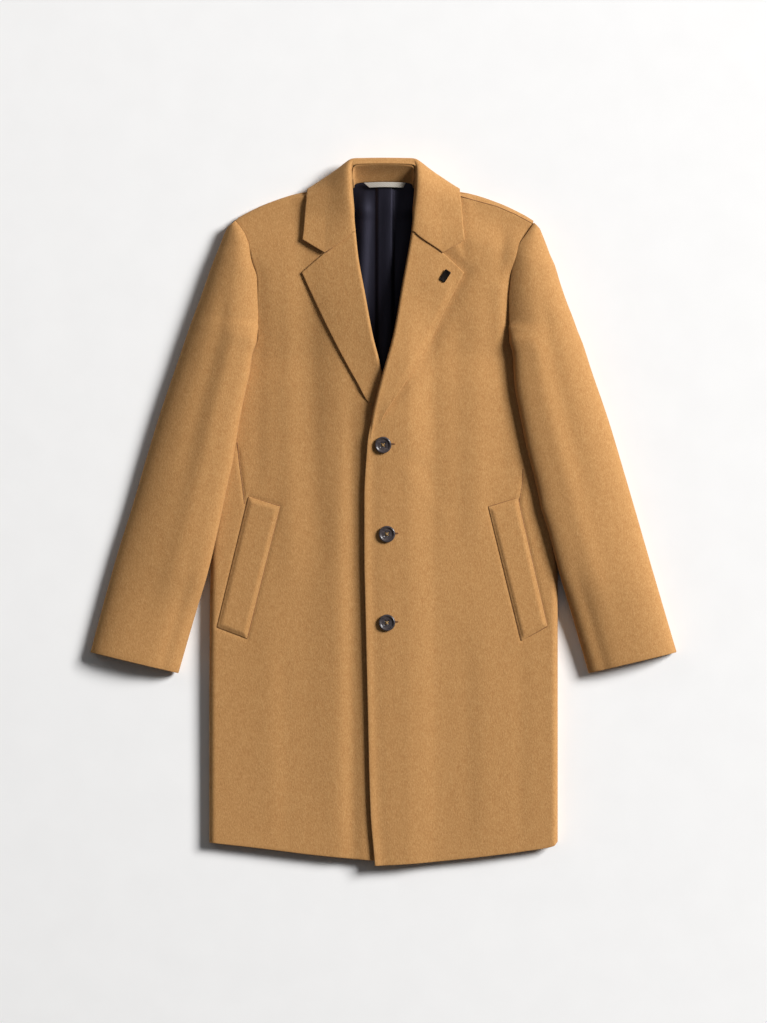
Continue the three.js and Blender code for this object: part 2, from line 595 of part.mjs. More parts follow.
// A panel's own points moved out by the lift given, inside four corners.
function overlay(corners, lift, cloth, height, counts) {
  const [a, b, c, d] = corners;
  const grid = shares(counts[0]).map((v) => shares(counts[1]).map((u) => {
    const x = lerp(lerp(a[0], b[0], u), lerp(d[0], c[0], u), v);
    const y = lerp(lerp(a[1], b[1], u), lerp(d[1], c[1], u), v);
    return new THREE.Vector3(x, y, height(x, y) + lift);
  }));
  return wall(grid, cloth);
}

// The back from hem to neck, with its sides turned up to the fronts.
function backPanel() {
  const across = acrossBack();
  const hemDrop = column(BACK_HEM, "x", "drop");
  const neckY = column(BACK_NECK, "x", "y");
  const topY = (x) => (Math.abs(x) < BACK_NECK.at(-1).x ? neckY(Math.abs(x)) : shoulderY(Math.abs(x)));
  const grid = alongBack().map((v) => across.map((u) => {
    let x = u * HALF_BODY;
    for (let pass = 0; pass < 6; pass += 1) {
      const y = lerp(-hemDrop(Math.abs(x)), topY(x), v);
      x = u * halfWidth(u, Math.min(y, BACK_TOP_Y));
    }
    const y = lerp(-hemDrop(Math.abs(x)), topY(x), v);
    return new THREE.Vector3(x, y, backHeight(x, y));
  }));
  return wall(grid, COATING, (i, j) => (
    (j === 0 || j === across.length - 1) && grid[i][j].y < UNDERARM_Y ? new THREE.Vector3(1, 0, 0) : null
  ));
}

// Shares across the back, close together in both side turns.
function acrossBack() {
  const half = acrossFront().map((u) => 1 - u);
  return [...half.map((u) => -u), ...half.slice(0, -1).reverse()];
}

// Shares along the back, close together at the shoulder's turn.
function alongBack() {
  return [...shares(17).slice(0, -1), 0.965, 0.985, 0.995, 1];
}

const liningHalf = column(LINING_ROWS, "y", "half");
const liningRise = column(LINING_ROWS, "y", "z");

// The back lining with the box pleat along its centre.
function liningHeight(x, y) {
  const pleat = PLEAT_HEIGHT * (1 - smooth((Math.abs(x) - PLEAT_HALF) / PLEAT_EASE));
  const onBack = backHeight(x, y) + REST + SEAM_GAP + LINING / 2;
  const free = lerp(liningRise(y), onBack, smooth(Math.abs(x) / liningHalf(y)));
  return Math.max(onBack, free) + pleat * smooth((y - LINING_ROWS[0].y) / PLEAT_START);
}

function liningBack() {
  const across = [-1, -0.75, -0.5, -0.3, -0.2, -0.1, 0, 0.1, 0.2, 0.3, 0.5, 0.75, 1];
  const grid = shares(10).map((v) => across.map((u) => {
    const y = lerp(LINING_ROWS[0].y, LINING_ROWS.at(-1).y, v);
    const x = u * liningHalf(y);
    return new THREE.Vector3(x, y, liningHeight(x, y));
  }));
  return wall(grid, LINING);
}

function solidOf(geometry) {
  const bare = geometry.clone();
  bare.deleteAttribute("normal");
  bare.deleteAttribute("uv");
  const merged = mergeVertices(bare, 1e-4);
  return new wasm.Manifold(new wasm.Mesh({
    numProp: 3,
    vertProperties: merged.attributes.position.array,
    triVerts: new Uint32Array(merged.index.array),
  }));
}

function geometryOf(solid) {
  const mesh = solid.getMesh();
  const geometry = new THREE.BufferGeometry();
  geometry.setAttribute("position", new THREE.BufferAttribute(mesh.vertProperties, 3));
  return geometry.setIndex(new THREE.BufferAttribute(mesh.triVerts, 1));
}

// Turns about x and y that lay a small piece on the upper front.
function tiltAt(x, y) {
  const reach = BUTTON_RADIUS;
  const slopeX = (overHeight(x + reach, y) - overHeight(x - reach, y)) / (2 * reach);
  const slopeY = (overHeight(x, y + reach) - overHeight(x, y - reach)) / (2 * reach);
  return [Math.atan(slopeY), -Math.atan(slopeX)];
}

// A button: a turned disc with a raised rim, a shallow dish and four holes for the thread.
function buttonShape() {
  const profile = BUTTON_PROFILE.map(({ r, z }) => new THREE.Vector2(r, z));
  const disc = new THREE.LatheGeometry(profile, 20).rotateX(Math.PI / 2);
  let solid = solidOf(disc);
  for (const [sx, sy] of [[1, 1], [1, -1], [-1, 1], [-1, -1]]) {
    const hole = new THREE.CylinderGeometry(HOLE_RADIUS, HOLE_RADIUS, 3 * BUTTON_HEIGHT, 6).rotateX(Math.PI / 2);
    hole.translate(sx * HOLE_SPACING, sy * HOLE_SPACING, BUTTON_HEIGHT / 2);
    solid = solid.subtract(solidOf(hole));
  }
  return geometryOf(solid);
}

// A plain bar pin: a rounded bar with a bevelled edge.
function pinShape() {
  const [w, h] = [PIN_WIDTH / 2 - PIN_BEVEL, PIN_LENGTH / 2 - PIN_BEVEL];
  const outline = new THREE.Shape([
    new THREE.Vector2(-w, -h), new THREE.Vector2(w, -h), new THREE.Vector2(w, h), new THREE.Vector2(-w, h),
  ]);
  return new THREE.ExtrudeGeometry(outline, {
    depth: PIN_HEIGHT - 2 * PIN_BEVEL,
    bevelThickness: PIN_BEVEL,
    bevelSize: PIN_BEVEL,
    bevelSegments: 2,
  }).translate(0, 0, PIN_BEVEL);
}

const wool = new THREE.MeshStandardMaterial({ color: 0xb98c58, roughness: 0.95 });
const satin = new THREE.MeshStandardMaterial({ color: 0x14121c, roughness: 0.35 });
const tape = new THREE.MeshStandardMaterial({ color: 0xcfc9bd, roughness: 0.8 });
const horn = new THREE.MeshStandardMaterial({ color: 0x3a3538, roughness: 0.3 });
const darkMetal = new THREE.MeshStandardMaterial({ color: 0x24201f, roughness: 0.35, metalness: 0.8 });

const coat = new THREE.Group();

function add(name, geometry, material, place = [0, 0, 0], turn = [0, 0, 0]) {
  const mesh = new THREE.Mesh(geometry, material);
  mesh.name = name;
  mesh.position.set(...place);
  mesh.rotation.set(...turn);
  coat.add(mesh);
}

add("back", backPanel(), wool);
const innerRight = [...UNDER_EDGE, ...setBack(ROLL_RIGHT, -1)];
const innerLeft = [...OVER_EDGE, ...setBack(ROLL_LEFT, 1)];
add("front_right", frontPanel(-1, HEM_RIGHT, SHOULDER_RIGHT, innerRight, frontHeight), wool);
add("front_left", frontPanel(1, HEM_LEFT, SHOULDER_LEFT, innerLeft, overHeight), wool);
const lapelRollRight = [...ROLL_RIGHT.slice(0, 6), LAPEL_TOP_RIGHT.at(-1)];
add("facing_right", lapel(-1, lapelRollRight, LAPEL_EDGE_RIGHT, LAPEL_TOP_RIGHT, frontHeight), wool);
const lapelRollLeft = [...ROLL_LEFT.slice(0, 6), LAPEL_TOP_LEFT.at(-1)];
add("facing_left", lapel(1, lapelRollLeft, LAPEL_EDGE_LEFT, LAPEL_TOP_LEFT, overHeight), wool);
add("collar_leaf", collarLeaf(), wool);
add("collar_stand", collarStand(), wool);

const sleeveLeftRows = SLEEVE_RIGHT.map((row, k) => ({ ...row, ...SLEEVE_LEFT_OUTLINE[k] }));
for (const [side, rows, sign] of [["right", SLEEVE_RIGHT, -1], ["left", sleeveLeftRows, 1]]) {
  add(`sleeve_${side}_top`, sleeveHalf(rows, sign, upperHeight), wool);
  add(`sleeve_${side}_under`, sleeveHalf(rows, sign, lowerHeight), wool);
}

const weltLift = COATING / 2 + SEAM_GAP + WELT_CLOTH / 2;
add("welt_right", overlay(WELT_RIGHT, weltLift, WELT_CLOTH, frontHeight, [14, 4]), wool);
add("welt_left", overlay(WELT_LEFT, weltLift, WELT_CLOTH, overHeight, [14, 4]), wool);
add("lining_back", liningBack(), satin);
const loopCorners = [[LOOP.x0, LOOP.y1], [LOOP.x1, LOOP.y1], [LOOP.x1, LOOP.y0], [LOOP.x0, LOOP.y0]];
add("hanger_loop", overlay(loopCorners, LOOP.lift, LOOP.cloth, liningHeight, [2, 12]), tape);

BUTTONS.forEach(({ x, y }, k) => {
  const seat = overHeight(x, y) + COATING / 2 + BUTTON_GAP;
  add(`button_${k + 1}`, buttonShape(), horn, [x, y, seat], [...tiltAt(x, y), 0]);
});
const pinSeat = overHeight(PIN.x, PIN.y) + LAPEL_LIFT + LAPEL_CLOTH / 2 + PIN_GAP;
add("lapel_pin", pinShape(), darkMetal, [PIN.x, PIN.y, pinSeat], [0, 0, THREE.MathUtils.degToRad(PIN_TURN - 90)]);

export default coat;
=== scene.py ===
# %% [markdown]
# # A wool overcoat, laid flat
# The coat lies on its back, buttoned, and is seen straight from above.
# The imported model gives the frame: where each panel lies and how large it is.
# This script lays the real cloth over it, and gives each cloth, button and thread its own finish.

# %% Load the frame
import math
import bmesh
import bpy
import numpy as np
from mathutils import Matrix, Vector


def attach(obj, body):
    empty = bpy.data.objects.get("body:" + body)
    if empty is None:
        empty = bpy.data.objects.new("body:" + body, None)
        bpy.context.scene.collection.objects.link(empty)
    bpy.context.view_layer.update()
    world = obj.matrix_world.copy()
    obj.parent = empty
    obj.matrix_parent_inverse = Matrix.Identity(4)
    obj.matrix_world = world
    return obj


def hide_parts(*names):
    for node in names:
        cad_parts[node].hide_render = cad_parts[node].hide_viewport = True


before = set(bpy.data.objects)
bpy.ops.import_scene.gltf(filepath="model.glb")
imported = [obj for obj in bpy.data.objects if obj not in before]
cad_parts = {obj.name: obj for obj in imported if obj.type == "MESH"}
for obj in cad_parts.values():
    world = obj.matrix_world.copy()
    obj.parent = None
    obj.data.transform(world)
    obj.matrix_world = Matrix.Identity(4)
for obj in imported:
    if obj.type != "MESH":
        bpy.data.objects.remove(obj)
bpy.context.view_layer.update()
MM = 0.001

# %% [markdown]
# A garment is cut from flat cloth, so each panel is worked out as a surface with two parameters:
# one runs across the panel and one along it. The curves that bound it pass through a few measured points.
# A monotone cubic joins them, because it never swings past a point as a free spline may.

# %% Curves through points
def smooth(t):
    """Eases from 0 to 1 with level ends: t squared times (3 - 2t)."""
    t = np.clip(t, 0.0, 1.0)
    return t * t * (3.0 - 2.0 * t)


def lerp(a, b, t):
    """The point at share t of the way from a to b."""
    return a + (b - a) * t


def through(xs, ys):
    """A monotone cubic through (xs, ys): harmonic means of neighbouring slopes, level past both ends."""
    xs = np.asarray(xs, float)
    ys = np.asarray(ys, float)
    step = np.diff(ys) / np.diff(xs)
    a, b = step[:-1], step[1:]
    inner = np.where(a * b > 0, 2 * a * b / np.where(a + b == 0, 1, a + b), 0)
    slope = np.concatenate([step[:1], inner, step[-1:]])

    def value(x):
        x = np.clip(np.asarray(x, float), xs[0], xs[-1])
        i = np.clip(np.searchsorted(xs, x, side="right") - 1, 0, len(xs) - 2)
        h = xs[i + 1] - xs[i]
        t = (x - xs[i]) / h
        near = (1 + 2 * t) * (1 - t) ** 2 * ys[i] + t * (1 - t) ** 2 * h * slope[i]
        far = t * t * (3 - 2 * t) * ys[i + 1] + t * t * (t - 1) * h * slope[i + 1]
        return near + far

    return value


def curve_of(points):
    """A curve through points, by its share of the length along them."""
    points = np.asarray(points, float)
    length = np.linalg.norm(np.diff(points, axis=0), axis=1)
    share = np.concatenate([[0], np.cumsum(length)]) / length.sum()
    parts = [through(share, points[:, k]) for k in range(points.shape[1])]
    return lambda t: np.stack([part(t) for part in parts], axis=-1)


def coons(low, high, first, last, u, v):
    """A patch between four edges: both ruled surfaces added, less the one between its corners."""
    ruled = lerp(first(v), last(v), u[..., None]) + lerp(low(u), high(u), v[..., None])
    zero, one = np.zeros(()), np.ones(())
    below = lerp(low(zero), low(one), u[..., None])
    above = lerp(high(zero), high(one), u[..., None])
    return ruled - lerp(below, above, v[..., None])


# %% [markdown]
# Cloth has a thickness that shows at every edge, where heavy coating is pressed into a soft round.
# A single sheet with a Solidify modifier gives a square edge, so the wall is worked out here:
# two skins half a thickness from the middle surface, which run on past the edge along a half circle.

# %% A wall of cloth with rounded edges
EDGE_ANGLES = np.radians([30.0, 58.0, 80.0])


def normals_of(grid):
    """Unit cross product of the differences along and across the grid."""
    along = np.gradient(grid, axis=0)
    across = np.gradient(grid, axis=1)
    normal = np.cross(along, across)
    return normal / np.maximum(np.linalg.norm(normal, axis=-1, keepdims=True), 1e-9)


def padded_grid(grid, half):
    """The grid carried past each edge: out by half times the sine, thinned by the cosine of each angle."""
    thin = np.ones(grid.shape[:2])
    for axis in (0, 1):
        g = np.moveaxis(grid, axis, 0)
        t = np.moveaxis(thin, axis, 0)
        parts, thins = [g], [t]
        for end, inner in ((0, 1), (-1, -2)):
            way = g[end] - g[inner]
            way = way / np.maximum(np.linalg.norm(way, axis=-1, keepdims=True), 1e-9)
            rows = [g[end] + way * half * math.sin(a) for a in EDGE_ANGLES]
            thin_rows = [t[end] * math.cos(a) for a in EDGE_ANGLES]
            if end == 0:
                parts = rows[::-1] + list(parts)
                thins = thin_rows[::-1] + list(thins)
            else:
                parts = list(parts) + rows
                thins = list(thins) + thin_rows
        flat = [p if p.ndim == 3 else p[None] for p in parts]
        flat_thin = [p if p.ndim == 2 else p[None] for p in thins]
        grid = np.moveaxis(np.concatenate(flat), 0, axis)
        thin = np.moveaxis(np.concatenate(flat_thin), 0, axis)
    return grid, thin


def wall(name, grid, thickness, upward=True):
    """A closed mesh: both skins of the padded grid and a strip round the rim. Points are in millimetres."""
    half = thickness / 2
    inner_normal = normals_of(grid)
    pad = len(EDGE_ANGLES)
    grid, thin = padded_grid(grid, half)
    normal = np.pad(inner_normal, ((pad, pad), (pad, pad), (0, 0)), mode="edge")
    if upward and inner_normal[..., 2].mean() < 0 or not upward and inner_normal[..., 2].mean() > 0:
        normal = -normal
        flip = True
    else:
        flip = False
    offset = normal * (half * thin)[..., None]
    rows, cols = grid.shape[:2]
    skins = np.concatenate([(grid + offset).reshape(-1, 3), (grid - offset).reshape(-1, 3)])
    skins[:, 2] = np.maximum(skins[:, 2], 0.0)
    at = np.arange(rows * cols).reshape(rows, cols)
    a, b, c, d = at[:-1, :-1], at[1:, :-1], at[1:, 1:], at[:-1, 1:]
    top = np.stack([a, b, c, d], axis=-1).reshape(-1, 4)
    under = top[:, ::-1] + rows * cols
    ring = np.concatenate([at[0, :-1], at[:-1, -1], at[-1, :0:-1], at[:0:-1, 0]])
    following = np.roll(ring, -1)
    rim = np.stack([ring, following, following + rows * cols, ring + rows * cols], axis=-1)
    faces = np.concatenate([top, under, rim])
    if flip:
        faces = faces[:, ::-1]
    return mesh_piece(name, skins * MM, faces)


def mesh_piece(name, points, faces):
    """An object at the origin from arrays of points in metres and of four-cornered faces, smooth shaded."""
    mesh = bpy.data.meshes.new(name)
    mesh.from_pydata(points.tolist(), [], faces.tolist())
    mesh.polygons.foreach_set("use_smooth", np.ones(len(mesh.polygons), bool))
    mesh.update()
    piece = bpy.data.objects.new(name, mesh)
    bpy.context.scene.collection.objects.link(piece)
    return piece


def area_of(piece):
    """Half the surface of a closed wall, which is the cloth's own area, in square metres."""
    areas = np.zeros(len(piece.data.polygons))
    piece.data.polygons.foreach_get("area", areas)
    return areas.sum() / 2


# %% [markdown]
# The fronts of a closed coat are one low dome: level where the cloth lies on itself, turned under
# at the sides, and a little hollow or proud where the wool falls in long soft folds.
# A height over the floor for every point is enough for that, and whatever lies on a front
# takes its own height from the same function, so that nothing floats or sinks in.

# %% Heights of the fronts and the back
COATING = 2.2
LAPEL_CLOTH = 2.6
COLLAR_CLOTH = 3.0
REST = COATING / 2
UNDERARM_Y = 236.0
SHOULDER_ROLL = 7.0
SHOULDER_EASE = 70.0

# y, the right and left outlines' distances from the centre, the height inside the edge, its turn's radius
SIDES = np.array([
    (-530, 260, 260, 17.6, 8), (-300, 260, 260, 18.6, 8.5), (-74, 258, 260, 20.4, 9.4),
    (11, 250, 250, 21.4, 9.9),
    (100, 237, 229, 21.4, 9.9), (180, 222, 213, 21.4, 9.9), (228, 208, 204, 19, 8), (246, 195, 194, 21, 4),
    (262, 189.4, 189.4, 23, 3), (317, 189.4, 189.4, 28, 3), (349, 189.8, 192, 29, 3),
    (371, 196, 196.4, 29, 3),
    (397, 202.6, 203.4, 28, 3), (416, 209.6, 216, 26, 3), (436, 224, 230, 22, 3),
], float)
side_right = through(SIDES[:, 0], SIDES[:, 1])
side_left = through(SIDES[:, 0], SIDES[:, 2])
side_height = through(SIDES[:, 0], SIDES[:, 3])
side_roll = through(SIDES[:, 0], SIDES[:, 4])
centre_height = through([-530, -300, -100, 100, 200, 300, 400, 530], [18, 23, 29, 35, 38, 39, 36, 30])
SHOULDER_LINE = [(54, 496), (113, 478), (128, 475.5), (173, 461), (211, 443), (224, 435)]
shoulder_y = through(*np.array(SHOULDER_LINE, float).T)

# x0, y0, x1, y1 of each long fold, its half width and its height, negative in a hollow
FOLDS = np.array([
    (-124, 410, -104, -50, 24, -3.2), (-170, 360, -172, 60, 26, 2.0), (-62, 300, -70, -130, 24, 1.6),
    (-112, -60, -122, -420, 25, -2.0), (-170, -160, -166, -430, 24, 1.6), (64, 230, 76, 10, 24, -2.6),
    (124, 310, 118, -20, 26, 2.6), (96, -190, 100, -490, 24, -1.6), (152, -170, 152, -480, 24, 1.6),
    (172, 420, 178, 350, 20, -2.0),
], float)

# The folds are drawn at about half of their depth in the solids, because the low light deepens them
FOLD_SHARE = np.array([1, 1, 1, 1, 1, 0.55])
CREASE_SHARE = np.array([1, 1, 1, 1, 1, 0.5])
# Creases that lie on those folds: the same columns. The cloth is drawn a little from each armhole
# and from the top button.
CREASES = np.array([
    (-142, 340, -140, -40, 15, 2.2), (-106, 300, -98, -40, 16, -2.2), (-186, 250, -188, 60, 12, -1.6),
    (-70, 130, -84, -60, 15, -1.5),
    (-64, -150, -72, -480, 18, 1.6), (-150, -230, -146, -470, 15, -1.6), (142, 300, 144, -20, 16, 2.6),
    (110, 300, 112, -20, 15, -2.2),
    (180, 428, 186, 345, 14, -6.0), (176, 200, 182, 60, 13, -1.8), (60, -120, 66, -480, 16, 1.4),
    (124, -230, 128, -470, 15, -1.6),
    (206, -230, 204, -480, 14, -1.4), (30, 60, 92, -10, 12, 0.9), (32, 84, 70, 60, 10, -0.9),
    (-48, 100, -46, -500, 13, -6.0),
], float)

# The seam from each armhole to its pocket, which is drawn in a little: its points on each side
DARTS = [[(-219, 104), (-215, 67), (-211, 39), (-208, 11)], [(209, 64), (208, 42), (205, 25), (203, 11)]]
DART_DEPTH = 1.5
DART_WIDTH = 2.2


def turn_fall(d, r):
    """Fall of a quarter circle of radius r at the distance d from its edge."""
    return np.where(d >= r, 0, r - np.sqrt(np.maximum(0, r * r - (r - d) ** 2)))


def half_width(x, y):
    """Distance of the outline from the centre on the side of x."""
    return np.where(x < 0, side_right(y), side_left(y))


def folds_at(x, y):
    """The folds' height: each is a bell curve across its line, eased off at both ends."""
    total = np.zeros(np.broadcast(x, y).shape)
    for x0, y0, x1, y1, wide, deep in np.concatenate([FOLDS * FOLD_SHARE, CREASES * CREASE_SHARE]):
        length = math.hypot(x1 - x0, y1 - y0)
        ux, uy = (x1 - x0) / length, (y1 - y0) / length
        along = ((x - x0) * ux + (y - y0) * uy) / length
        off = ((x - x0) * uy - (y - y0) * ux) / wide
        total += deep * smooth((along + 0.25) / 0.35) * smooth((1.25 - along) / 0.35) * np.exp(-off * off)
    return total


def dart_at(x, y):
    """The darts' groove: a narrow bell curve of the distance from the dart's line."""
    total = np.zeros(np.broadcast(x, y).shape)
    for line in DARTS:
        ys = np.array([p[1] for p in line[::-1]], float)
        xs = np.array([p[0] for p in line[::-1]], float)
        off = (x - through(ys, xs)(y)) / DART_WIDTH
        reach = smooth((y - ys[0] + 4) / 8) * smooth((ys[-1] - y) / 20)
        total -= DART_DEPTH * reach * np.exp(-off * off)
    return total


def valley_at(x, y):
    """The hollow beside each armhole: a bell curve of the distance to the edge, deep away from the light."""
    inside = half_width(x, y) - np.abs(x)
    deep = np.where(x > 0, 6.0, 1.6)
    return -deep * np.exp(-(inside / 11) ** 2) * smooth((y - 215) / 80) * smooth((404 - y) / 60)


def distance_to(line, x, y):
    """Least distance to a line's segments: each point is dropped onto the segment, held between its ends."""
    near = np.full(np.broadcast(x, y).shape, 1e6)
    for (ax, ay), (bx, by) in zip(line, line[1:]):
        t = np.clip(((x - ax) * (bx - ax) + (y - ay) * (by - ay)) / ((bx - ax) ** 2 + (by - ay) ** 2), 0, 1)
        near = np.minimum(near, np.hypot(x - ax - t * (bx - ax), y - ay - t * (by - ay)))
    return near


def groove_at(x, y):
    """The pressed line round each welt: a narrow bell curve of the distance to its outline."""
    near = [distance_to(corners + corners[:1], x, y) for corners in WELTS.values()]
    return -GROOVE * np.exp(-(np.minimum(*near) / 3.2) ** 2)


def front_height(x, y):
    """Middle of the closed fronts over the floor: side height eased to centre, folds and turned edges."""
    half = half_width(x, y)
    inside = half - np.abs(x)
    z = lerp(side_height(y), centre_height(y), smooth(inside / half)) + folds_at(x, y) * smooth(inside / 30)
    z = z + valley_at(x, y) + groove_at(x, y)
    under = np.maximum(0, (shoulder_y(np.abs(x)) - y) * 0.95)
    seam = REST + 2 * SHOULDER_ROLL + 3.4 * (1 - smooth((np.abs(x) - 112) / 30))
    z = seam + (z - seam) * smooth((under - SHOULDER_ROLL + 6) / SHOULDER_EASE)
    z = z - turn_fall(under, SHOULDER_ROLL) + dart_at(x, y)
    return z - turn_fall(np.maximum(0, inside), side_roll(y))


LAPEL_EDGE_RIGHT = [(4, 148), (-14, 155), (-42, 199), (-78, 266), (-104, 320), (-121, 357)]
LAPEL_EDGE_LEFT = [(-17, 109), (-10, 115), (-1, 142), (16, 169), (34, 197), (65, 248), (99, 318), (119, 357)]
LAPEL_TOP_RIGHT = [(-121, 357), (-88, 385), (-43, 419.4)]
LAPEL_TOP_LEFT = [(119, 357), (90, 384), (43, 418.4)]
RIM_RISE = 1.6
RIM_WIDTH = 11.0
GROOVE = 1.3
LAPEL_DIP = 4.2
COLLAR_DIP = 1.6
COLLAR_SIDE = [(90, 384), (120, 384), (118, 424), (115, 462)]
WELTS = {
    "right": [(-201, 21), (-156, 7), (-205, -189), (-248, -172)],
    "left": [(200, 19), (158, 6), (207, -192), (244, -171)],
}
over_line = through(
    [-530, -443, -283, -156, -56, 18, 62, 84, 104, 119, 137],
    [-12, -19, -23, -26, -28, -28, -27.3, -25.5, -23.5, -21, -17.3])
lap_lift = through([-530, -100, 50, 144, 220, 330], [4.6, 5.0, 5.4, 9, 9, 0])


def over_base(x, y):
    """The upper front: the same dome, raised toward its lapping edge, with a trough and the edge's rise."""
    edge = over_line(y)
    rim = RIM_RISE * (1 - smooth((x - edge) / RIM_WIDTH))
    rim = rim - 0.3 * np.exp(-((x - edge - RIM_WIDTH - 5) / 6) ** 2)
    return front_height(x, y) + lap_lift(y) * (1 - smooth((x - 34) / 46)) + rim * smooth((150 - y) / 60)


def over_height(x, y):
    """The upper front with its dips: bell curves of the distance to the lapel's and collar's edges."""
    lapel_dip = LAPEL_DIP * np.exp(-(distance_to(LAPEL_EDGE_LEFT[2:] + LAPEL_TOP_LEFT[1:2], x, y) / 15) ** 2)
    collar_dip = COLLAR_DIP * np.exp(-(distance_to(COLLAR_SIDE, x, y) / 9) ** 2)
    return over_base(x, y) - np.maximum(lapel_dip, collar_dip) * smooth((y - 140) / 40)


def belly_at(edge, top, tall, x, y):
    """How far a lapel stands off the chest: most 10 mm inside its edge, nothing at edge, top and foot."""
    to_edge = distance_to(edge, x, y)
    inside = smooth(to_edge / 10) * (1 - smooth((to_edge - 10) / 60))
    return tall * inside * smooth(distance_to(top, x, y) / 40) * smooth((y - 150) / 90)


def left_lapel_base(x, y):
    return over_base(x, y) + belly_at(LAPEL_EDGE_LEFT, LAPEL_TOP_LEFT, 2.5, x, y)


def back_height(x, y):
    """Middle of the back: on the floor, turned up at its sides and over the collar's fall."""
    half = half_width(x, y)
    inside = np.maximum(0, half - np.abs(x))
    radius = side_roll(y) * (1 - smooth((y - UNDERARM_Y) / 16))
    edge = 461 + 22 * (np.abs(x) / 113) ** 2
    over_collar = smooth((y - edge + 28) / 20) * (1 - smooth((np.abs(x) - 114) / 26))
    neck = smooth((y - 470) / 24) * (1 - smooth((np.abs(x) - 40) / 30))
    shoulder = turn_fall(np.maximum(0, shoulder_y(np.abs(x)) - y), SHOULDER_ROLL)
    return REST + turn_fall(inside, radius) + 4.4 * over_collar + 1.2 * neck + shoulder * (1 - neck)


print("height of the fronts at the chest:", float(front_height(np.array(0.0), np.array(300.0))), "mm")

# %% [markdown]
# A coat front is one piece from hem to shoulder: straight down the closing, in along the roll line,
# over the shoulder seam, round the armhole and down the side. Its four edges span a patch.
# The columns crowd together at the side, where the cloth turns under in a tight round.

# %% The two fronts
HEM_RIGHT = [(-260, -495), (-185, -503.5), (-104, -513.5), (-48, -519), (-17, -521.5), (28, -522.5)]
HEM_LEFT = [(260, -494), (255, -500), (217, -507), (157, -515), (97, -521.5), (36, -527), (-12, -529.5)]
SHOULDER_RIGHT = [(-224, 434), (-197, 448.8), (-171, 460.8), (-113, 474), (-58, 492)]
SHOULDER_LEFT = [(228, 429), (196, 446), (170, 457), (112, 473), (58, 489)]
UNDER_EDGE = [(28, -522.5), (29, -300), (29, 0), (27, 80), (20, 128)]
OVER_EDGE = [(-12, -529.5), (-19, -443), (-23, -283), (-26, -156), (-28, -56), (-28, 18), (-24, 92)]
ROLL_RIGHT = [
    (10, 160), (-1, 196), (-6, 220), (-17, 263), (-29, 327), (-39, 382), (-43, 422), (-48, 450), (-54, 492)]
ROLL_LEFT = [(-19, 113), (-13, 150), (-2, 200), (16, 266), (29, 340), (40, 400), (47, 450), (54, 489)]
LAPEL_ROLL = 2.9
LAPEL_LIFT = 3.3
ROLL_GAP = 1.4
SIDE_YS = [
    -400, -300, -200, -74, 11, 60, 100, 140, 180, 205, 222,
    234, 246, 262, 290, 317, 349, 360, 371, 384, 397, 416]


def set_back(points, sign):
    """The roll line moved outward, where the panel stops and the lapel's roll takes over."""
    return [(x + sign * (LAPEL_ROLL + ROLL_GAP), y) for x, y in points]


def crowded(count, turn, even):
    """Shares across a panel: a quarter circle's steps through the side turn, then even ones."""
    angle = np.linspace(0, math.pi / 2, count)
    return np.concatenate([turn * (1 - np.cos(angle)), np.linspace(turn, 1, even + 1)[1:]])


def front_panel(name, sign, hem, shoulder, inner, height):
    """A Coons patch between hem, shoulder, outer edge and closing edge, raised to the height given."""
    half = side_right if sign < 0 else side_left
    outer = curve_of([hem[0], *[(sign * float(half(y)), y) for y in SIDE_YS], shoulder[0]])
    last = curve_of([*inner[:-1], shoulder[-1]])
    u, v = np.meshgrid(crowded(9, 11 / 255, 120), np.linspace(0, 1, 260))
    plan = coons(curve_of(hem), curve_of(shoulder), outer, last, u, v)
    x, y = plan[..., 0], plan[..., 1]
    return wall(name, np.stack([x, y, height(x, y)], axis=-1), COATING)


front_right = front_panel(
    "right_front_cloth", -1, HEM_RIGHT, SHOULDER_RIGHT, UNDER_EDGE + set_back(ROLL_RIGHT, -1), front_height)
TURN_IN = [(-22.6, 108), (-20.0, 122), (-17.0, 136)]
closing_left = OVER_EDGE + TURN_IN + set_back(ROLL_LEFT[2:], 1)
front_left = front_panel("left_front_cloth", 1, HEM_LEFT, SHOULDER_LEFT, closing_left, over_height)
print("fronts, square metres:", round(area_of(front_right), 3), round(area_of(front_left), 3))


def shoulder_strip(name, sign, shoulder):
    """The back's cloth over the shoulder: a quarter ellipse from under the front's edge to the back's."""
    edge = curve_of(shoulder)(np.linspace(0.035, 1.0, 120))
    x = edge[:, :1]
    seam_y, line_y = edge[:, 1:] - 2.5, shoulder_y(np.abs(x)) - 0.8
    seam_z = front_height(x, edge[:, 1:]) - 1.7
    s = np.linspace(0, 1, 16)[None, :]
    y = lerp(seam_y, np.maximum(line_y, seam_y + 3), np.sin(s * math.pi / 2))
    z = lerp(REST + SHOULDER_ROLL, seam_z, np.cos(s * math.pi / 2))
    return wall(name, np.stack([x + 0 * s, y, z], axis=-1), COATING)


strips = [
    shoulder_strip("right_shoulder_strip", -1, SHOULDER_RIGHT),
    shoulder_strip("left_shoulder_strip", 1, SHOULDER_LEFT)]
print("shoulder strips, square metres:", [round(area_of(p), 4) for p in strips])

# %% [markdown]
# The lapel is the facing turned outward: the cloth leaves the front's edge, rolls over with a round
# back and comes to rest on the chest. It springs a little from the roll and lies close at its edge.

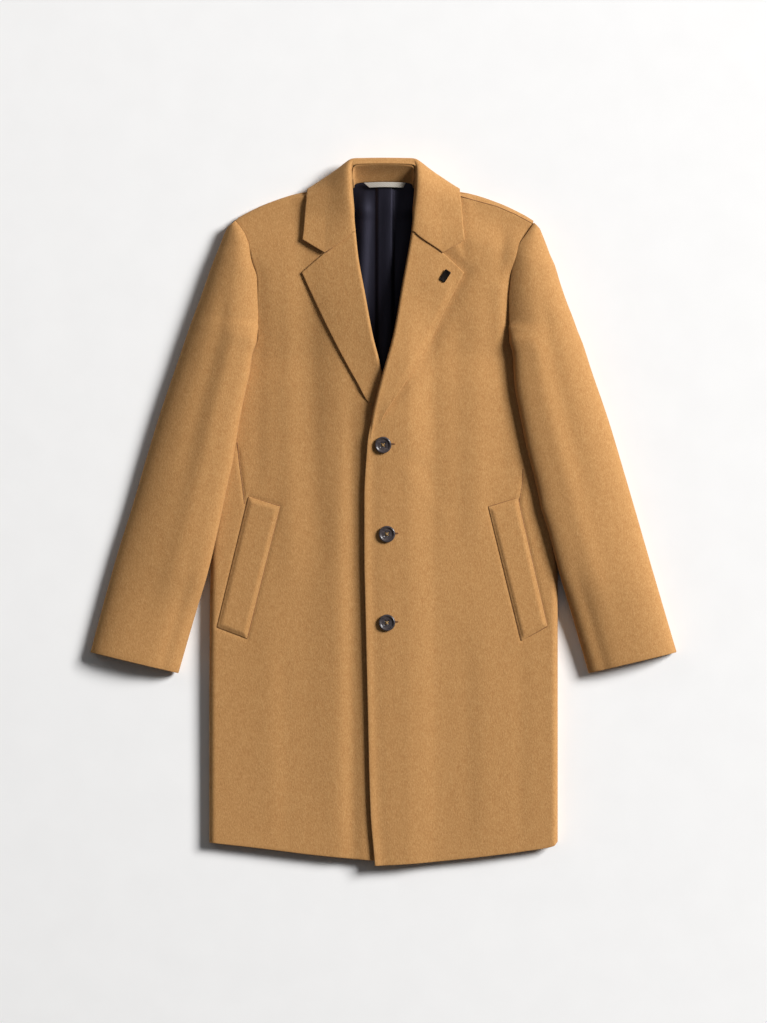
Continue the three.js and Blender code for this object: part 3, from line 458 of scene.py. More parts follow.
# %% The lapels
def lapel(name, sign, roll, edge, top, height):
    """A half circle over the roll line, then a patch to the outer edge that eases down to the chest."""
    roll_curve = curve_of(roll)
    start = curve_of([(x + sign * LAPEL_ROLL, y) for x, y in roll])
    top_points = top[::-1]
    top_edge = curve_of([tuple(start(np.array(1.0))), *top_points[1:]])
    bottom = curve_of([tuple(start(np.array(0.0))), edge[0]])
    v = np.linspace(0, 1, 110)
    angle = np.linspace(-math.pi / 2, math.pi / 2, 10)
    rolled = roll_curve(v)
    base = height(rolled[:, 0] + sign * LAPEL_ROLL, rolled[:, 1])
    x = rolled[:, :1] + sign * LAPEL_ROLL * (1 - np.cos(angle))
    y = np.repeat(rolled[:, 1:2], len(angle), axis=1)
    z = base[:, None] + LAPEL_ROLL * (1 + np.sin(angle))
    turned = np.stack([x, y, z], axis=-1)
    u, vv = np.meshgrid(np.linspace(0, 1, 48)[1:], v)
    plan = coons(bottom, top_edge, start, curve_of(edge), u, vv)
    lift = lerp(LAPEL_LIFT, 2 * LAPEL_ROLL, (1 - u) ** 2)
    flat = np.stack([plan[..., 0], plan[..., 1], height(plan[..., 0], plan[..., 1]) + lift], axis=-1)
    grid = np.concatenate([turned, flat], axis=1)
    grid[..., 2] -= 5.5 * (1 - smooth(v / 0.22))[:, None]
    return wall(name, grid, LAPEL_CLOTH)


roll_to_gorge = ROLL_RIGHT[:6] + [LAPEL_TOP_RIGHT[-1]]
facing_right = lapel("right_lapel_cloth", -1, roll_to_gorge, LAPEL_EDGE_RIGHT, LAPEL_TOP_RIGHT, front_height)
LEFT_BREAK = [(-21.5, 111), (-14.6, 150)]
roll_to_gorge = LEFT_BREAK + ROLL_LEFT[2:6] + [LAPEL_TOP_LEFT[-1]]
facing_left = lapel("left_lapel_cloth", 1, roll_to_gorge, LAPEL_EDGE_LEFT, LAPEL_TOP_LEFT, left_lapel_base)
print("lapels, square metres:", round(area_of(facing_right), 4), round(area_of(facing_left), 4))

# %% [markdown]
# The collar is one curved band round the neck. Each section starts at the stand's seam, goes over the
# crown and falls outward: on the chest in front, and behind the neck down under the back.
# A row of the table is one section, and smooth curves join the rows.

# %% The collar and its stand
# seam x y z, crown x y z, fall x y z, edge x y z, and the dip that draws the end down to the notch
COLLAR = np.array([
    (44, 420, 33, 47, 418.6, 42, 88, 414, 39, 120, 407, 35.5, 26),
    (45, 434, 32, 48.5, 433, 42, 87, 432, 37, 118, 424, 33, 16),
    (45, 452, 31, 50, 450, 42, 86, 449, 34, 116.5, 443, 29, 7),
    (47, 476, 31, 53, 474, 42, 84, 473, 32, 114.5, 466, 25, 0),
    (48, 496, 31, 54.5, 498.5, 40, 85, 487.5, 27, 113, 479.5, 18.5, 0),
    (48.5, 508, 31, 55, 514.5, 34, 85.5, 499.5, 18, 112, 483, 10, 0),
    (47.5, 515, 31, 53, 522.5, 28, 82, 500.5, 7, 103, 476.5, 2.6, 0),
    (45, 519, 31, 46.5, 526.6, 24, 62, 508, 2.6, 78, 468, 1.6, 0),
    (30, 520.5, 31, 30, 527.3, 23, 36, 510, 1.7, 44, 463, 1.6, 0),
    (0, 521, 31, 0, 527.6, 23, 0, 510, 1.7, 0, 461, 1.6, 0),
], float)
# top x y z, low x y z
STAND = np.array([
    (46, 497, 28, 45, 486, 12), (46, 508, 29, 44, 490, 11), (43, 516, 29.6, 38, 493, 10.5),
    (28, 518.6, 30, 25, 494.4, 10), (0, 519.4, 30, 0, 495, 10),
], float)


def mirrored(rows, columns):
    """Half a table's rows on the right, then the same rows on the left without the middle one."""
    right = rows.copy()
    right[:, columns] *= -1
    return np.concatenate([right, rows[:-1][::-1]])


def natural(points, t):
    """A curve with continuous slopes through evenly spaced rows: Catmull-Rom, with doubled ends."""
    p = np.concatenate([points[:1] * 2 - points[1:2], points, points[-1:] * 2 - points[-2:-1]])
    s = t * (len(points) - 1)
    i = np.clip(s.astype(int), 0, len(points) - 2)
    f = (s - i).reshape(-1, *([1] * (points.ndim - 1)))
    a, b, c, d = p[i], p[i + 1], p[i + 2], p[i + 3]
    return 0.5 * (
        2 * b + (c - a) * f + (2 * a - 5 * b + 4 * c - d) * f ** 2 + (3 * b - a - 3 * c + d) * f ** 3)


def collar_leaf():
    """Sections along the neck, curved through seam, crown, fall and edge; the ends dip to the notch."""
    rows = natural(mirrored(COLLAR, [0, 3, 6, 9]), np.linspace(0, 1, 190))
    sections = rows[:, :12].reshape(-1, 4, 3).transpose(1, 0, 2)
    t = np.concatenate([
        np.linspace(0, 1 / 3, 14)[:-1], np.linspace(1 / 3, 2 / 3, 22)[:-1], np.linspace(2 / 3, 1, 20)])
    grid = natural(sections, t).transpose(1, 0, 2)
    share = np.where(t < 2 / 3, (t - 1 / 3) * 3, (1 - t) * 3)
    grid[..., 1] -= np.maximum(0, rows[:, 12:13]) * np.maximum(0, share)[None, :]
    grid[..., 2] = np.maximum(grid[..., 2], COLLAR_CLOTH / 2)
    return wall("collar_cloth", grid, COLLAR_CLOTH)


def collar_stand():
    """A ruled strip between the neck seam and the collar's seam, a little hollow in the middle."""
    rows = natural(mirrored(STAND, [0, 3]), np.linspace(0, 1, 90))
    t = np.linspace(0, 1, 14)[None, :, None]
    grid = lerp(rows[:, None, 3:], rows[:, None, :3], t)
    grid[..., 2] -= 1.2 * np.sin(math.pi * t[..., 0])
    return wall("stand_cloth", grid, COATING)


collar = collar_leaf()
stand = collar_stand()
print("collar, square metres:", round(area_of(collar), 4), "stand:", round(area_of(stand), 4))

# %% [markdown]
# A sleeve of a coat is two pieces, an upper and a lower one, joined along both folds.
# Laid flat it is a soft, low tube: the lower piece lies on the floor and, near the body, on the coat's side.
# Its sections are joined along the arm, each with an outer and an inner end.

# %% The sleeves
OUTER_TURN = 9.0
INNER_TURN = 5.0
# the sleeve's edge lies over the front's turned edge by this much, so that the seam is closed
ARMHOLE_LAP = 0.7
# outer, above, below: heights of the ends; crown: rise of the upper piece;
# fold: 1 past the armhole; over: 1 on the body
SLEEVE_SHAPE = np.array([
    (12, 18, 8, 4, 0, 0), (11, 22.5, 4.5, 8, 0, 0), (10.5, 25, 3, 11, 0, 0), (10, 26, 2.4, 15, 0, 0),
    (10, 26, 2.2, 17, 0, 0), (10, 26, 2.2, 19, 0, 0), (10, 26, 4, 20, 0.1, 0.1), (10, 28.4, 27, 20, 0.6, 0.9),
    (10, 29.6, 28.8, 20, 1, 1), (10, 29.6, 28.8, 20, 1, 1), (10, 29.6, 28.8, 20, 1, 1),
    (10, 29.6, 28.8, 19, 1, 1),
    (10, 29.6, 28.8, 18, 1, 1), (10, 26.6, 25.8, 18, 1, 1), (9.6, 14.4, 13.6, 20, 1, 0),
    (9.2, 9.8, 9, 20, 1, 0),
], float)
# outer x y, inner x y
SLEEVE_RIGHT = np.array([
    (-233, 425, -226, 434), (-238.5, 413, -212.2, 418), (-243.5, 400, -204.2, 398), (-250.5, 383, -199, 372),
    (-257.5, 365, -195, 350), (-269, 332, -191, 317), (-280, 302, -191, 287), (-286, 286, -193.6, 270),
    (-292, 269, -195.4, 253), (-306, 228, -201, 208), (-331, 155, -213, 127), (-354.5, 79, -232, 50),
    (-376, 5, -250, -34), (-396, -58, -264, -92), (-415, -125, -284, -158), (-438, -210, -308, -241),
], float)
SLEEVE_LEFT = np.array([
    (233.5, 423, 230.4, 431), (240.5, 406, 216.6, 413), (248.5, 385, 205, 396), (256, 368, 198.2, 373),
    (262, 348, 194, 350), (272, 318, 191, 316), (284, 287, 191, 286), (290, 270, 193.4, 269),
    (297, 253, 194, 252), (311, 210, 196, 205), (336, 137, 204, 128), (360, 57, 222, 50),
    (381, -15, 249, -34), (396, -67, 264, -92), (415, -132, 284, -158), (438, -210, 308, -241),
], float)


def crown_share(w, fold):
    """Rise across the upper piece: a round outer fold, and inward a slope to the seam or a round fold."""
    middle = 0.45
    outer = np.sqrt(np.maximum(0, 1 - np.abs(1 - w / middle) ** 2.4))
    t = np.clip((w - middle) / (1 - middle), 0, 1)
    return np.where(w < middle, outer, lerp(1 - t * t, np.sqrt(np.maximum(0, 1 - t ** 2.4)), fold))


def sleeve_half(name, outline, sign, upper):
    """Sections from outline and shape tables, with cosine steps across so that both folds are round."""
    table = np.concatenate([outline, SLEEVE_SHAPE], axis=1)
    at = np.linspace(0, 1, len(table))
    t = np.linspace(0, 1, 200)
    ox, oy, ix, iy, outer, above, below, crown, fold, over = (
        through(at, table[:, k])(t)[:, None] for k in range(10))
    half = (side_right if sign < 0 else side_left)(iy) - ARMHOLE_LAP
    drawn = 4.5 * smooth((iy - 232) / 24) * smooth((fold - 0.02) / 0.1)
    inner = np.where(iy > 290, 0, np.abs(ix) - drawn)
    ix = sign * np.maximum(inner, half - 14 * (1 - smooth((iy - 232) / 50)))
    w = ((1 - np.cos(math.pi * np.linspace(0, 1, 56))) / 2)[None, :]
    x, y = lerp(ox, ix, w), lerp(oy, iy, w)
    if upper:
        z = lerp(outer + 0.3, above, w) + crown * crown_share(w, fold)
        z = z + sleeve_folds(w, t[:, None])
    else:
        chord = np.hypot(ix - ox, iy - oy)
        inner = (1 - w) * chord
        shelf = lerp(below, below - INNER_TURN, fold)
        raised = (shelf - REST) * (1 - smooth((inner - 20 * over) / lerp(24, 30, over))) * smooth(w / 0.5)
        turned = ((outer - 0.3 - REST) / OUTER_TURN) * turn_fall(w * chord, OUTER_TURN)
        z = REST + raised + turned + fold * turn_fall(inner, INNER_TURN)
    return wall(name, np.stack([x, y, z], axis=-1), COATING, upward=upper)


def sleeve_folds(w, t):
    """Low folds of the upper sleeve: bells across, each eased along the arm, and none at the edges."""
    total = np.zeros(np.broadcast(w, t).shape)
    for at_w, drift, t0, t1, wide, deep in SLEEVE_FOLDS:
        off = (w - at_w - drift * (t - t0)) / wide
        total += deep * np.exp(-off * off) * smooth((t - t0) / 0.12) * smooth((t1 - t) / 0.12)
    return total * smooth(w / 0.12) * smooth((1 - w) / 0.12)


# share across, its drift along, first and last share along, half width and height of each fold
SLEEVE_FOLDS = [
    (0.42, 0.12, 0.30, 0.80, 0.12, -1.6), (0.68, -0.1, 0.45, 0.98, 0.10, 1.4),
    (0.82, 0.0, 0.82, 1.1, 0.07, -1.8)]

sleeves = {}
for side, outline, sign in (("right", SLEEVE_RIGHT, -1), ("left", SLEEVE_LEFT, 1)):
    sleeves[side, "top"] = sleeve_half(f"{side}_upper_sleeve_cloth", outline, sign, True)
    sleeves[side, "under"] = sleeve_half(f"{side}_lower_sleeve_cloth", outline, sign, False)
print("sleeve halves, square metres:", {k: round(area_of(p), 3) for k, p in sleeves.items()})

# %% [markdown]
# The back lies on the floor, so it is nearly flat: only its sides turn up to meet the fronts, and it
# rides over the collar's fall behind the neck.

# %% The back
def back_panel():
    """Columns at shares of the half width, rows from the hem's curve to the neck and shoulder line."""
    hem = through([0, 60, 160, 260], [520, 517.5, 506.5, 494])
    neck = through([0, 30, 44, 54], [493, 492, 489, 492])
    half_share = 1 - crowded(9, 11 / 255, 60)
    across = np.concatenate([-half_share, half_share[:-1][::-1]])
    along = np.concatenate([np.linspace(0, 0.96, 120), 1 - 0.04 * (1 - np.linspace(0, 1, 14)[1:]) ** 1.6])
    u, v = np.meshgrid(across, along)
    x = u * 260
    for _ in range(8):
        ax = np.abs(x)
        y = lerp(-hem(ax), np.where(ax < 54, neck(ax), shoulder_y(ax)), v)
        x = u * (half_width(u, np.minimum(y, 434)) - 5 * smooth((y - 412) / 20))
    return wall("back_cloth", np.stack([x, y, back_height(x, y)], axis=-1), COATING)


back = back_panel()
print("back, square metres:", round(area_of(back), 3))

# %% [markdown]
# A welt is a strip sewn over the pocket's mouth, on three sides. It lies on the front, a cloth's
# thickness higher, and its sewn edge sinks in a little, which is what draws its outline.

# %% The pocket welts
WELT_CLOTH = 2.4


def welt(name, corners, height):
    """Corners blended twice, on the front's height, puffed in the middle and pressed at the edges."""
    a, b, c, d = (np.array(p, float) for p in corners)
    u, v = np.meshgrid(np.linspace(0, 1, 34), np.linspace(0, 1, 110))
    plan = lerp(lerp(a, b, u[..., None]), lerp(d, c, u[..., None]), v[..., None])
    x, y = plan[..., 0], plan[..., 1]
    edge = np.minimum(np.minimum(u, 1 - u) * 46, np.minimum(v, 1 - v) * 200)
    lift = REST + WELT_CLOTH / 2 - 1.9 + GROOVE + 0.9 * smooth(edge / 7)
    return wall(name, np.stack([x, y, height(x, y) + lift], axis=-1), WELT_CLOTH)


welts = {
    "right": welt("right_welt_cloth", WELTS["right"], front_height),
    "left": welt("left_welt_cloth", WELTS["left"], over_height),
}
print("welts, square metres:", {k: round(area_of(p), 4) for k, p in welts.items()})

# %% [markdown]
# Inside the neck the satin lining shows. It is cut wider than the back and folded into a pleat down
# the middle, so that the coat can stretch. The loose satin falls in long ripples that catch the light.

# %% The lining and the hanger loop
LINING = 1.2
LINING_ROWS = np.array(
    [(150, 40, 5), (250, 58, 9), (350, 72, 11), (430, 66, 10.5), (472, 54, 11.5), (492, 50, 12.5)], float)
lining_half = through(LINING_ROWS[:, 0], LINING_ROWS[:, 1])
lining_rise = through(LINING_ROWS[:, 0], LINING_ROWS[:, 2])
# x at the neck and at the bottom, half width, height of each ripple
RIPPLES = [(-31, -40, 12, 5.0), (8, 2, 8, 1.0)]
PLEAT_HALF = 9.0
PLEAT_HEIGHT = 2.4


def lining_height(x, y):
    """The back's height with the pleat's step and the ripples' bells on it."""
    half = lining_half(y)
    on_back = back_height(x, y) + REST + 0.4 + LINING / 2
    base = np.maximum(on_back, lerp(lining_rise(y), on_back, smooth(np.abs(x) / half)))
    pleat = PLEAT_HEIGHT * (1 - smooth((np.abs(x - 2) - PLEAT_HALF) / 6)) * smooth((y - 150) / 40)
    down = smooth((491 - y) / 300)
    for top_x, low_x, wide, high in RIPPLES:
        off = (x - lerp(top_x, low_x, down)) / wide
        base = base + high * np.exp(-off * off) * smooth((y - 150) / 60) * smooth((500 - y) / 60)
    return base + pleat


def lining_back():
    """A grid across the shown half width, on the lining's height."""
    u, v = np.meshgrid(np.linspace(-1, 1, 110), np.linspace(0, 1, 120))
    y = lerp(150, 492, v)
    x = u * lining_half(y)
    return wall("lining_satin", np.stack([x, y, lining_height(x, y)], axis=-1), LINING)


def hanger_loop():
    """A narrow tape that bows over the lining between its two sewn ends."""
    u, v = np.meshgrid(np.linspace(0, 1, 60), np.linspace(0, 1, 8))
    x = lerp(lerp(-21, 29, u), lerp(-29, 32.7, u), v)
    y = lerp(485.3, 492.0, v) + 0.8 * np.sin(math.pi * u)
    z = np.maximum(lining_height(x, y), 15.5) + 1.6 + 1.8 * np.sin(math.pi * u)
    return wall("loop_tape", np.stack([x, y, z], axis=-1), 1.0)


lining = lining_back()
loop = hanger_loop()
print("lining, square metres:", round(area_of(lining), 4))

# %% [markdown]
# Horn buttons are turned on a lathe: a rounded rim, a shallow dish and four drilled holes.
# The outline of half a section is carried round the axis, and each hole is a dark well that the
# thread goes down. Four strands cross between the holes and hold the button.

# %% Buttons, thread and buttonholes
BUTTONS = [(-0.7, 99.6), (5.1, -33.7), (5.1, -166.1)]
BUTTON_R = 12.5
HOLE_R = 1.2
HOLE_AT = 2.4


def frame_at(x, y):
    """Origin and three axes of the upper front's skin at a point, in millimetres."""
    reach = BUTTON_R
    right, left = (over_height(np.array(x + step), np.array(y)) for step in (reach, -reach))
    up, down = (over_height(np.array(x), np.array(y + step)) for step in (reach, -reach))
    slope_x = float(right - left) / (2 * reach)
    slope_y = float(up - down) / (2 * reach)
    e1 = np.array([1, 0, slope_x]) / math.hypot(1, slope_x)
    e3 = np.cross(e1, np.array([0, 1, slope_y]))
    e3 /= np.linalg.norm(e3)
    origin = np.array([x, y, float(over_height(np.array(x), np.array(y))) + REST])
    return origin, np.stack([e1, np.cross(e3, e1), e3])


def placed(local, x, y, lift=0.0):
    """Local points carried onto the front at a point, lifted off it."""
    origin, axes = frame_at(x, y)
    return origin + axes[2] * lift + local @ axes


def revolve(profile, count):
    """Points and faces of a profile of radius and height turned about the z axis, closed on the axis."""
    profile = np.asarray(profile, float)
    angle = np.linspace(0, 2 * math.pi, count, endpoint=False)
    ring = np.stack([np.cos(angle), np.sin(angle)], axis=-1)
    xy = profile[:, None, :1] * ring[None]
    z = np.repeat(profile[:, 1:2], count, axis=1)[..., None]
    points = np.concatenate([xy, z], axis=-1).reshape(-1, 3)
    at = np.arange(len(profile) * count).reshape(len(profile), count)
    nxt = np.roll(at, -1, axis=1)
    faces = np.stack([at[:-1], nxt[:-1], nxt[1:], at[1:]], axis=-1).reshape(-1, 4)
    return points, faces


def tube(path, radius, sides=8):
    """Points and faces of a round tube along a path, with its ends drawn to a point."""
    path = np.asarray(path, float)
    way = np.gradient(path, axis=0)
    way /= np.linalg.norm(way, axis=1, keepdims=True)
    side = np.cross(way, np.array([0.31, 0.17, 0.94]))
    side /= np.linalg.norm(side, axis=1, keepdims=True)
    up = np.cross(side, way)
    angle = np.linspace(0, 2 * math.pi, sides, endpoint=False)
    taper = np.full(len(path), float(radius))
    taper[[0, -1]] *= 0.02
    ring = side[:, None] * np.cos(angle)[None, :, None] + up[:, None] * np.sin(angle)[None, :, None]
    points = (path[:, None] + ring * taper[:, None, None]).reshape(-1, 3)
    at = np.arange(len(path) * sides).reshape(len(path), sides)
    nxt = np.roll(at, -1, axis=1)
    faces = np.stack([at[:-1], nxt[:-1], nxt[1:], at[1:]], axis=-1).reshape(-1, 4)
    return points, faces


def joined(name, parts):
    """One object from several lists of points and faces."""
    points = np.concatenate([p for p, _ in parts])
    starts = np.cumsum([0] + [len(p) for p, _ in parts[:-1]])
    faces = np.concatenate([f + s for (_, f), s in zip(parts, starts)])
    piece = mesh_piece(name, points * MM, faces)
    mend(piece)
    return piece


def mend(piece):
    """Merges doubled points and turns every face outward."""
    bm = bmesh.new()
    bm.from_mesh(piece.data)
    bmesh.ops.remove_doubles(bm, verts=bm.verts, dist=1e-6)
    bmesh.ops.recalc_face_normals(bm, faces=bm.faces)
    bm.to_mesh(piece.data)
    bm.free()


BUTTON_PROFILE = [
    (0.001, 0.3), (7, 0.3), (10.6, 0.6), (11.9, 1.3), (12.5, 2.3), (12.35, 3.2), (11.8, 3.9), (11.0, 4.2),
    (10.2, 4.15),
    (9.5, 3.8), (9.0, 3.2), (8.4, 2.85), (7, 2.7), (4.5, 2.6), (0.001, 2.55),
]
HOLES = [(HOLE_AT, HOLE_AT), (-HOLE_AT, HOLE_AT), (-HOLE_AT, -HOLE_AT), (HOLE_AT, -HOLE_AT)]


def button(k, x, y):
    """The turned disc, drilled by a boolean cut with four short cylinders."""
    points, faces = revolve(BUTTON_PROFILE, 72)
    body = joined(f"horn_button_{k}", [(placed(points, x, y, 0.7), faces)])
    for hx, hy in HOLES:
        drill_points, drill_faces = revolve([(0.001, -1), (HOLE_R, -1), (HOLE_R, 6), (0.001, 6)], 24)
        drill = joined("drill", [(placed(drill_points + np.array([hx, hy, 0]), x, y, 0.7), drill_faces)])
        cut = body.modifiers.new("hole", "BOOLEAN")
        cut.object = drill
        cut.solver = "EXACT"
        bake(body)
        bpy.data.objects.remove(drill)
    return body


def bake(piece):
    """Applies the piece's modifiers to its mesh."""
    graph = bpy.context.evaluated_depsgraph_get()
    made = bpy.data.meshes.new_from_object(piece.evaluated_get(graph))
    piece.modifiers.clear()
    piece.data = made


def thread(k, x, y):
    """Two crossed pairs of strands from hole to hole, each an arch over the button's dish."""
    parts = []
    for (ax, ay), (bx, by) in ((HOLES[0], HOLES[2]), (HOLES[1], HOLES[3])):
        side = np.array([-(by - ay), bx - ax]) / math.hypot(bx - ax, by - ay)
        for off in (-0.3, 0.3):
            t = np.linspace(0, 1, 16)
            px = lerp(ax, bx, t) + side[0] * off
            py = lerp(ay, by, t) + side[1] * off
            pz = 1.6 + 1.9 * np.sin(math.pi * t) ** 0.45
            parts.append(tube(placed(np.stack([px, py, pz], axis=-1), x, y, 0.7), 0.3))
    return joined(f"button_thread_{k}", parts)


HOLE_ENDS = [17.5, 22.5, 22.5]
HOLE_START = -8.0


def buttonhole(k, x, y):
    """A stadium-shaped ring of satin stitches round the slit: its tube swells at every stitch."""
    length = HOLE_ENDS[k - 1] - x - HOLE_START
    t = np.linspace(0, 2 * math.pi, 240)
    cx = HOLE_START + length / 2
    px = cx + (length / 2 - 1.5) * np.tanh(2.4 * np.cos(t)) / math.tanh(2.4) + 1.0 * np.cos(t)
    py = 0.9 * np.sin(t)
    pz = np.full_like(t, 0.05) + 0.12 * np.abs(np.sin(26 * t))
    points = placed(np.stack([px, py, pz], axis=-1), x, y + 1.2)
    return joined(f"buttonhole_{k}", [tube(points, 0.6, 8)])


def slit(k, x, y):
    """The cut inside the stitches, a flat dark lens: painted shade in the slit's opening."""
    length = HOLE_ENDS[k - 1] - x - HOLE_START - 3
    t = np.linspace(0, 1, 24)
    px = HOLE_START + 1.5 + length * t
    path = placed(np.stack([px, 0 * t, 0 * t + 0.1], axis=-1), x, y + 1.2)
    return joined(f"buttonhole_slit_{k}", [tube(path, 0.55, 6)])


buttons, threads, holes, slits = [], [], [], []
for k, (bx, by) in enumerate(BUTTONS, start=1):
    buttons.append(button(k, bx, by))
    threads.append(thread(k, bx, by))
    holes.append(buttonhole(k, bx, by))
    slits.append(slit(k, bx, by))
print("buttons:", len(buttons), "of", 2 * BUTTON_R, "mm")

# %% [markdown]
# Where two cloths are sewn, the stitches draw them down into a groove, which shows as a thin brown line of
# shade and pressed nap.
# It is too fine for the panels' grids, so it is a thin cord of darker wool, half sunk in the seam's groove:
# painted shade of the groove, with the pressed nap.

# %% Seam lines
SEAM_R = 0.75


def along(points, count):
    """Evenly spaced points on the straight pieces of a line."""
    points = np.asarray(points, float)
    length = np.concatenate([[0], np.cumsum(np.linalg.norm(np.diff(points, axis=0), axis=1))])
    s = np.linspace(0, length[-1], count)
    return np.stack([np.interp(s, length, points[:, 0]), np.interp(s, length, points[:, 1])], axis=-1)


def seam_line(name, points, height, lift, count=120):
    """A tube along the line, at the cloth's height plus a lift."""
    xy = along(points, count)
    z = height(xy[:, 0], xy[:, 1]) + lift
    return joined(name, [tube(np.column_stack([xy, z]), SEAM_R, 6)])


# the corner of each welt moved out, in the order of its table
SEAM_OUT = {"right": [(-1, 1), (1, 1), (1, -1), (-1, -1)], "left": [(1, 1), (-1, 1), (-1, -1), (1, -1)]}
seams = []
for side, height in (("right", front_height), ("left", over_height)):
    corners = WELTS[side]
    outline = [(x + 1.1 * a, y + 1.1 * b) for (x, y), (a, b) in zip(corners, SEAM_OUT[side])]
    seams.append(seam_line(f"{side}_welt_seam", outline + outline[:1], height, REST + 0.5, 260))
on_lapel = LAPEL_LIFT + LAPEL_CLOTH / 2 + 0.3
seams.append(seam_line("right_gorge_seam", [(-46, 415.5), (-86, 387)], front_height, on_lapel))
seams.append(seam_line("left_gorge_seam", [(46, 415.5), (88, 385.5)], left_lapel_base, on_lapel))
shoulder = [(x, y - 0.2) for x, y in SHOULDER_LEFT[:-1]]
seams.append(seam_line("left_shoulder_seam", shoulder, front_height, REST - 0.3))
for side, line in zip(("right", "left"), DARTS):
    seams.append(seam_line(f"{side}_pocket_seam", line, front_height, REST - 0.1))
print("seam lines:", len(seams))

# %% [markdown]
# The pin on the lapel is a small dark bar with bevelled edges. A rounded box worked out from a
# superellipse keeps its faces flat and its corners soft.

# %% The lapel pin
PIN_X, PIN_Y, PIN_TURN = 92.0, 352.0, math.radians(57)
PIN_L, PIN_W, PIN_H = 18.5, 10.0, 2.4


def lapel_pin():
    """Rings of a rounded rectangle, from the base up over a bevel to a slightly hollow face."""
    angle = np.linspace(0, 2 * math.pi, 72, endpoint=False)
    c, s = np.cos(angle), np.sin(angle)
    power = 2 / 9
    ring = np.stack([np.sign(c) * np.abs(c) ** power, np.sign(s) * np.abs(s) ** power], axis=-1)
    levels = [(0.001, 0), (0.94, 0), (1, 0.5), (1, 1.3), (0.97, 1.8), (0.88, 2.3), (0.8, 2.15), (0.001, 2.1)]
    points = []
    for scale, z in levels:
        inset = (1 - scale) * PIN_W / 2 if scale > 0.5 else None
        half_l = PIN_L / 2 - inset if inset is not None else 0.001
        half_w = PIN_W / 2 - inset if inset is not None else 0.001
        points.append(np.stack([ring[:, 0] * half_l, ring[:, 1] * half_w, np.full(72, float(z))], axis=-1))
    points = np.concatenate(points)
    cos, sin = math.cos(PIN_TURN), math.sin(PIN_TURN)
    turn = np.array([[cos, sin, 0], [-sin, cos, 0], [0, 0, 1]])
    seat = float(left_lapel_base(np.array(PIN_X), np.array(PIN_Y))) + LAPEL_LIFT + LAPEL_CLOTH / 2 + 1.4
    at = np.arange(len(levels) * 72).reshape(len(levels), 72)
    nxt = np.roll(at, -1, axis=1)
    faces = np.stack([at[:-1], nxt[:-1], nxt[1:], at[1:]], axis=-1).reshape(-1, 4)
    return joined("bar_pin", [(points @ turn + np.array([PIN_X, PIN_Y, seat]), faces)])


pin = lapel_pin()

# %% [markdown]
# Camel coating is wool, woven and then brushed until a short nap hides the weave. It scatters light,
# has no gloss, and shows a faint mottle where the fibres lie together. A Principled shader with high
# roughness gives the body, its sheen gives the pale rim that fibres make, and noise gives the nap.

# %% Helpers for materials
def linear(hex_colour):
    """Turns an sRGB hex colour to linear values: divided by 12.92 when dark, else a power of 2.4."""
    value = np.array([int(hex_colour[i:i + 2], 16) for i in (1, 3, 5)]) / 255
    low = value <= 0.04045
    return (*np.where(low, value / 12.92, ((value + 0.055) / 1.055) ** 2.4), 1.0)


def add_node(tree, kind, settings=None, links=None, **inputs):
    """Adds a node, sets its settings and inputs, and links other sockets to its inputs."""
    node = tree.nodes.new(kind)
    for key, value in (settings or {}).items():
        setattr(node, key, value)
    for key, value in inputs.items():
        node.inputs[key.replace("_", " ")].default_value = value
    for key, socket in (links or {}).items():
        tree.links.new(socket, node.inputs[key])
    return node


def new_material(name, roughness, **inputs):
    """A material with only a Principled shader, whose constants are set on its own sockets."""
    material = bpy.data.materials.new(name)
    material.use_nodes = True
    tree = material.node_tree
    shader = tree.nodes["Principled BSDF"]
    shader.inputs["Roughness"].default_value = roughness
    for key, value in inputs.items():
        shader.inputs[key.replace("_", " ")].default_value = value
    coords = add_node(tree, "ShaderNodeTexCoord").outputs["Object"]
    return material, tree, shader, coords


def noise(tree, coords, size_mm, detail=3.0, rough=0.55, stretch=(1, 1, 1), turn=0.0):
    """Noise whose blotches are about size_mm across, stretched and turned by a Mapping node."""
    mapping = add_node(tree, "ShaderNodeMapping", links={"Vector": coords})
    mapping.inputs["Scale"].default_value = stretch
    mapping.inputs["Rotation"].default_value = (0, 0, turn)
    return add_node(tree, "ShaderNodeTexNoise", links={"Vector": mapping.outputs["Vector"]},
                    Scale=1 / (size_mm * MM), Detail=detail, Roughness=rough).outputs["Fac"]


def ramp(tree, socket, stops):
    """Colours along a value, from pairs of place and hex colour."""
    node = add_node(tree, "ShaderNodeValToRGB", links={"Fac": socket})
    elements = node.color_ramp.elements
    while len(elements) < len(stops):
        elements.new(0.5)
    for element, (place, colour) in zip(elements, stops):
        element.position = place
        element.color = linear(colour)
    return node.outputs["Color"]


def bumped(tree, shader, layers):
    """Chains bump nodes, one for each height, its depth in millimetres and its strength."""
    normal = None
    for height, depth_mm, strength in layers:
        node = add_node(
            tree, "ShaderNodeBump", links={"Height": height}, Strength=strength, Distance=depth_mm * MM)
        if normal is not None:
            tree.links.new(normal, node.inputs["Normal"])
        normal = node.outputs["Normal"]
    tree.links.new(normal, shader.inputs["Normal"])


def mixed(tree, a, b, share, mode="MIX"):
    """Mixes two colours by a constant share."""
    node = add_node(tree, "ShaderNodeMix", {"data_type": "RGBA", "blend_type": mode})
    node.inputs[0].default_value = share
    tree.links.new(a, node.inputs[6])
    tree.links.new(b, node.inputs[7])
    return node.outputs[2]


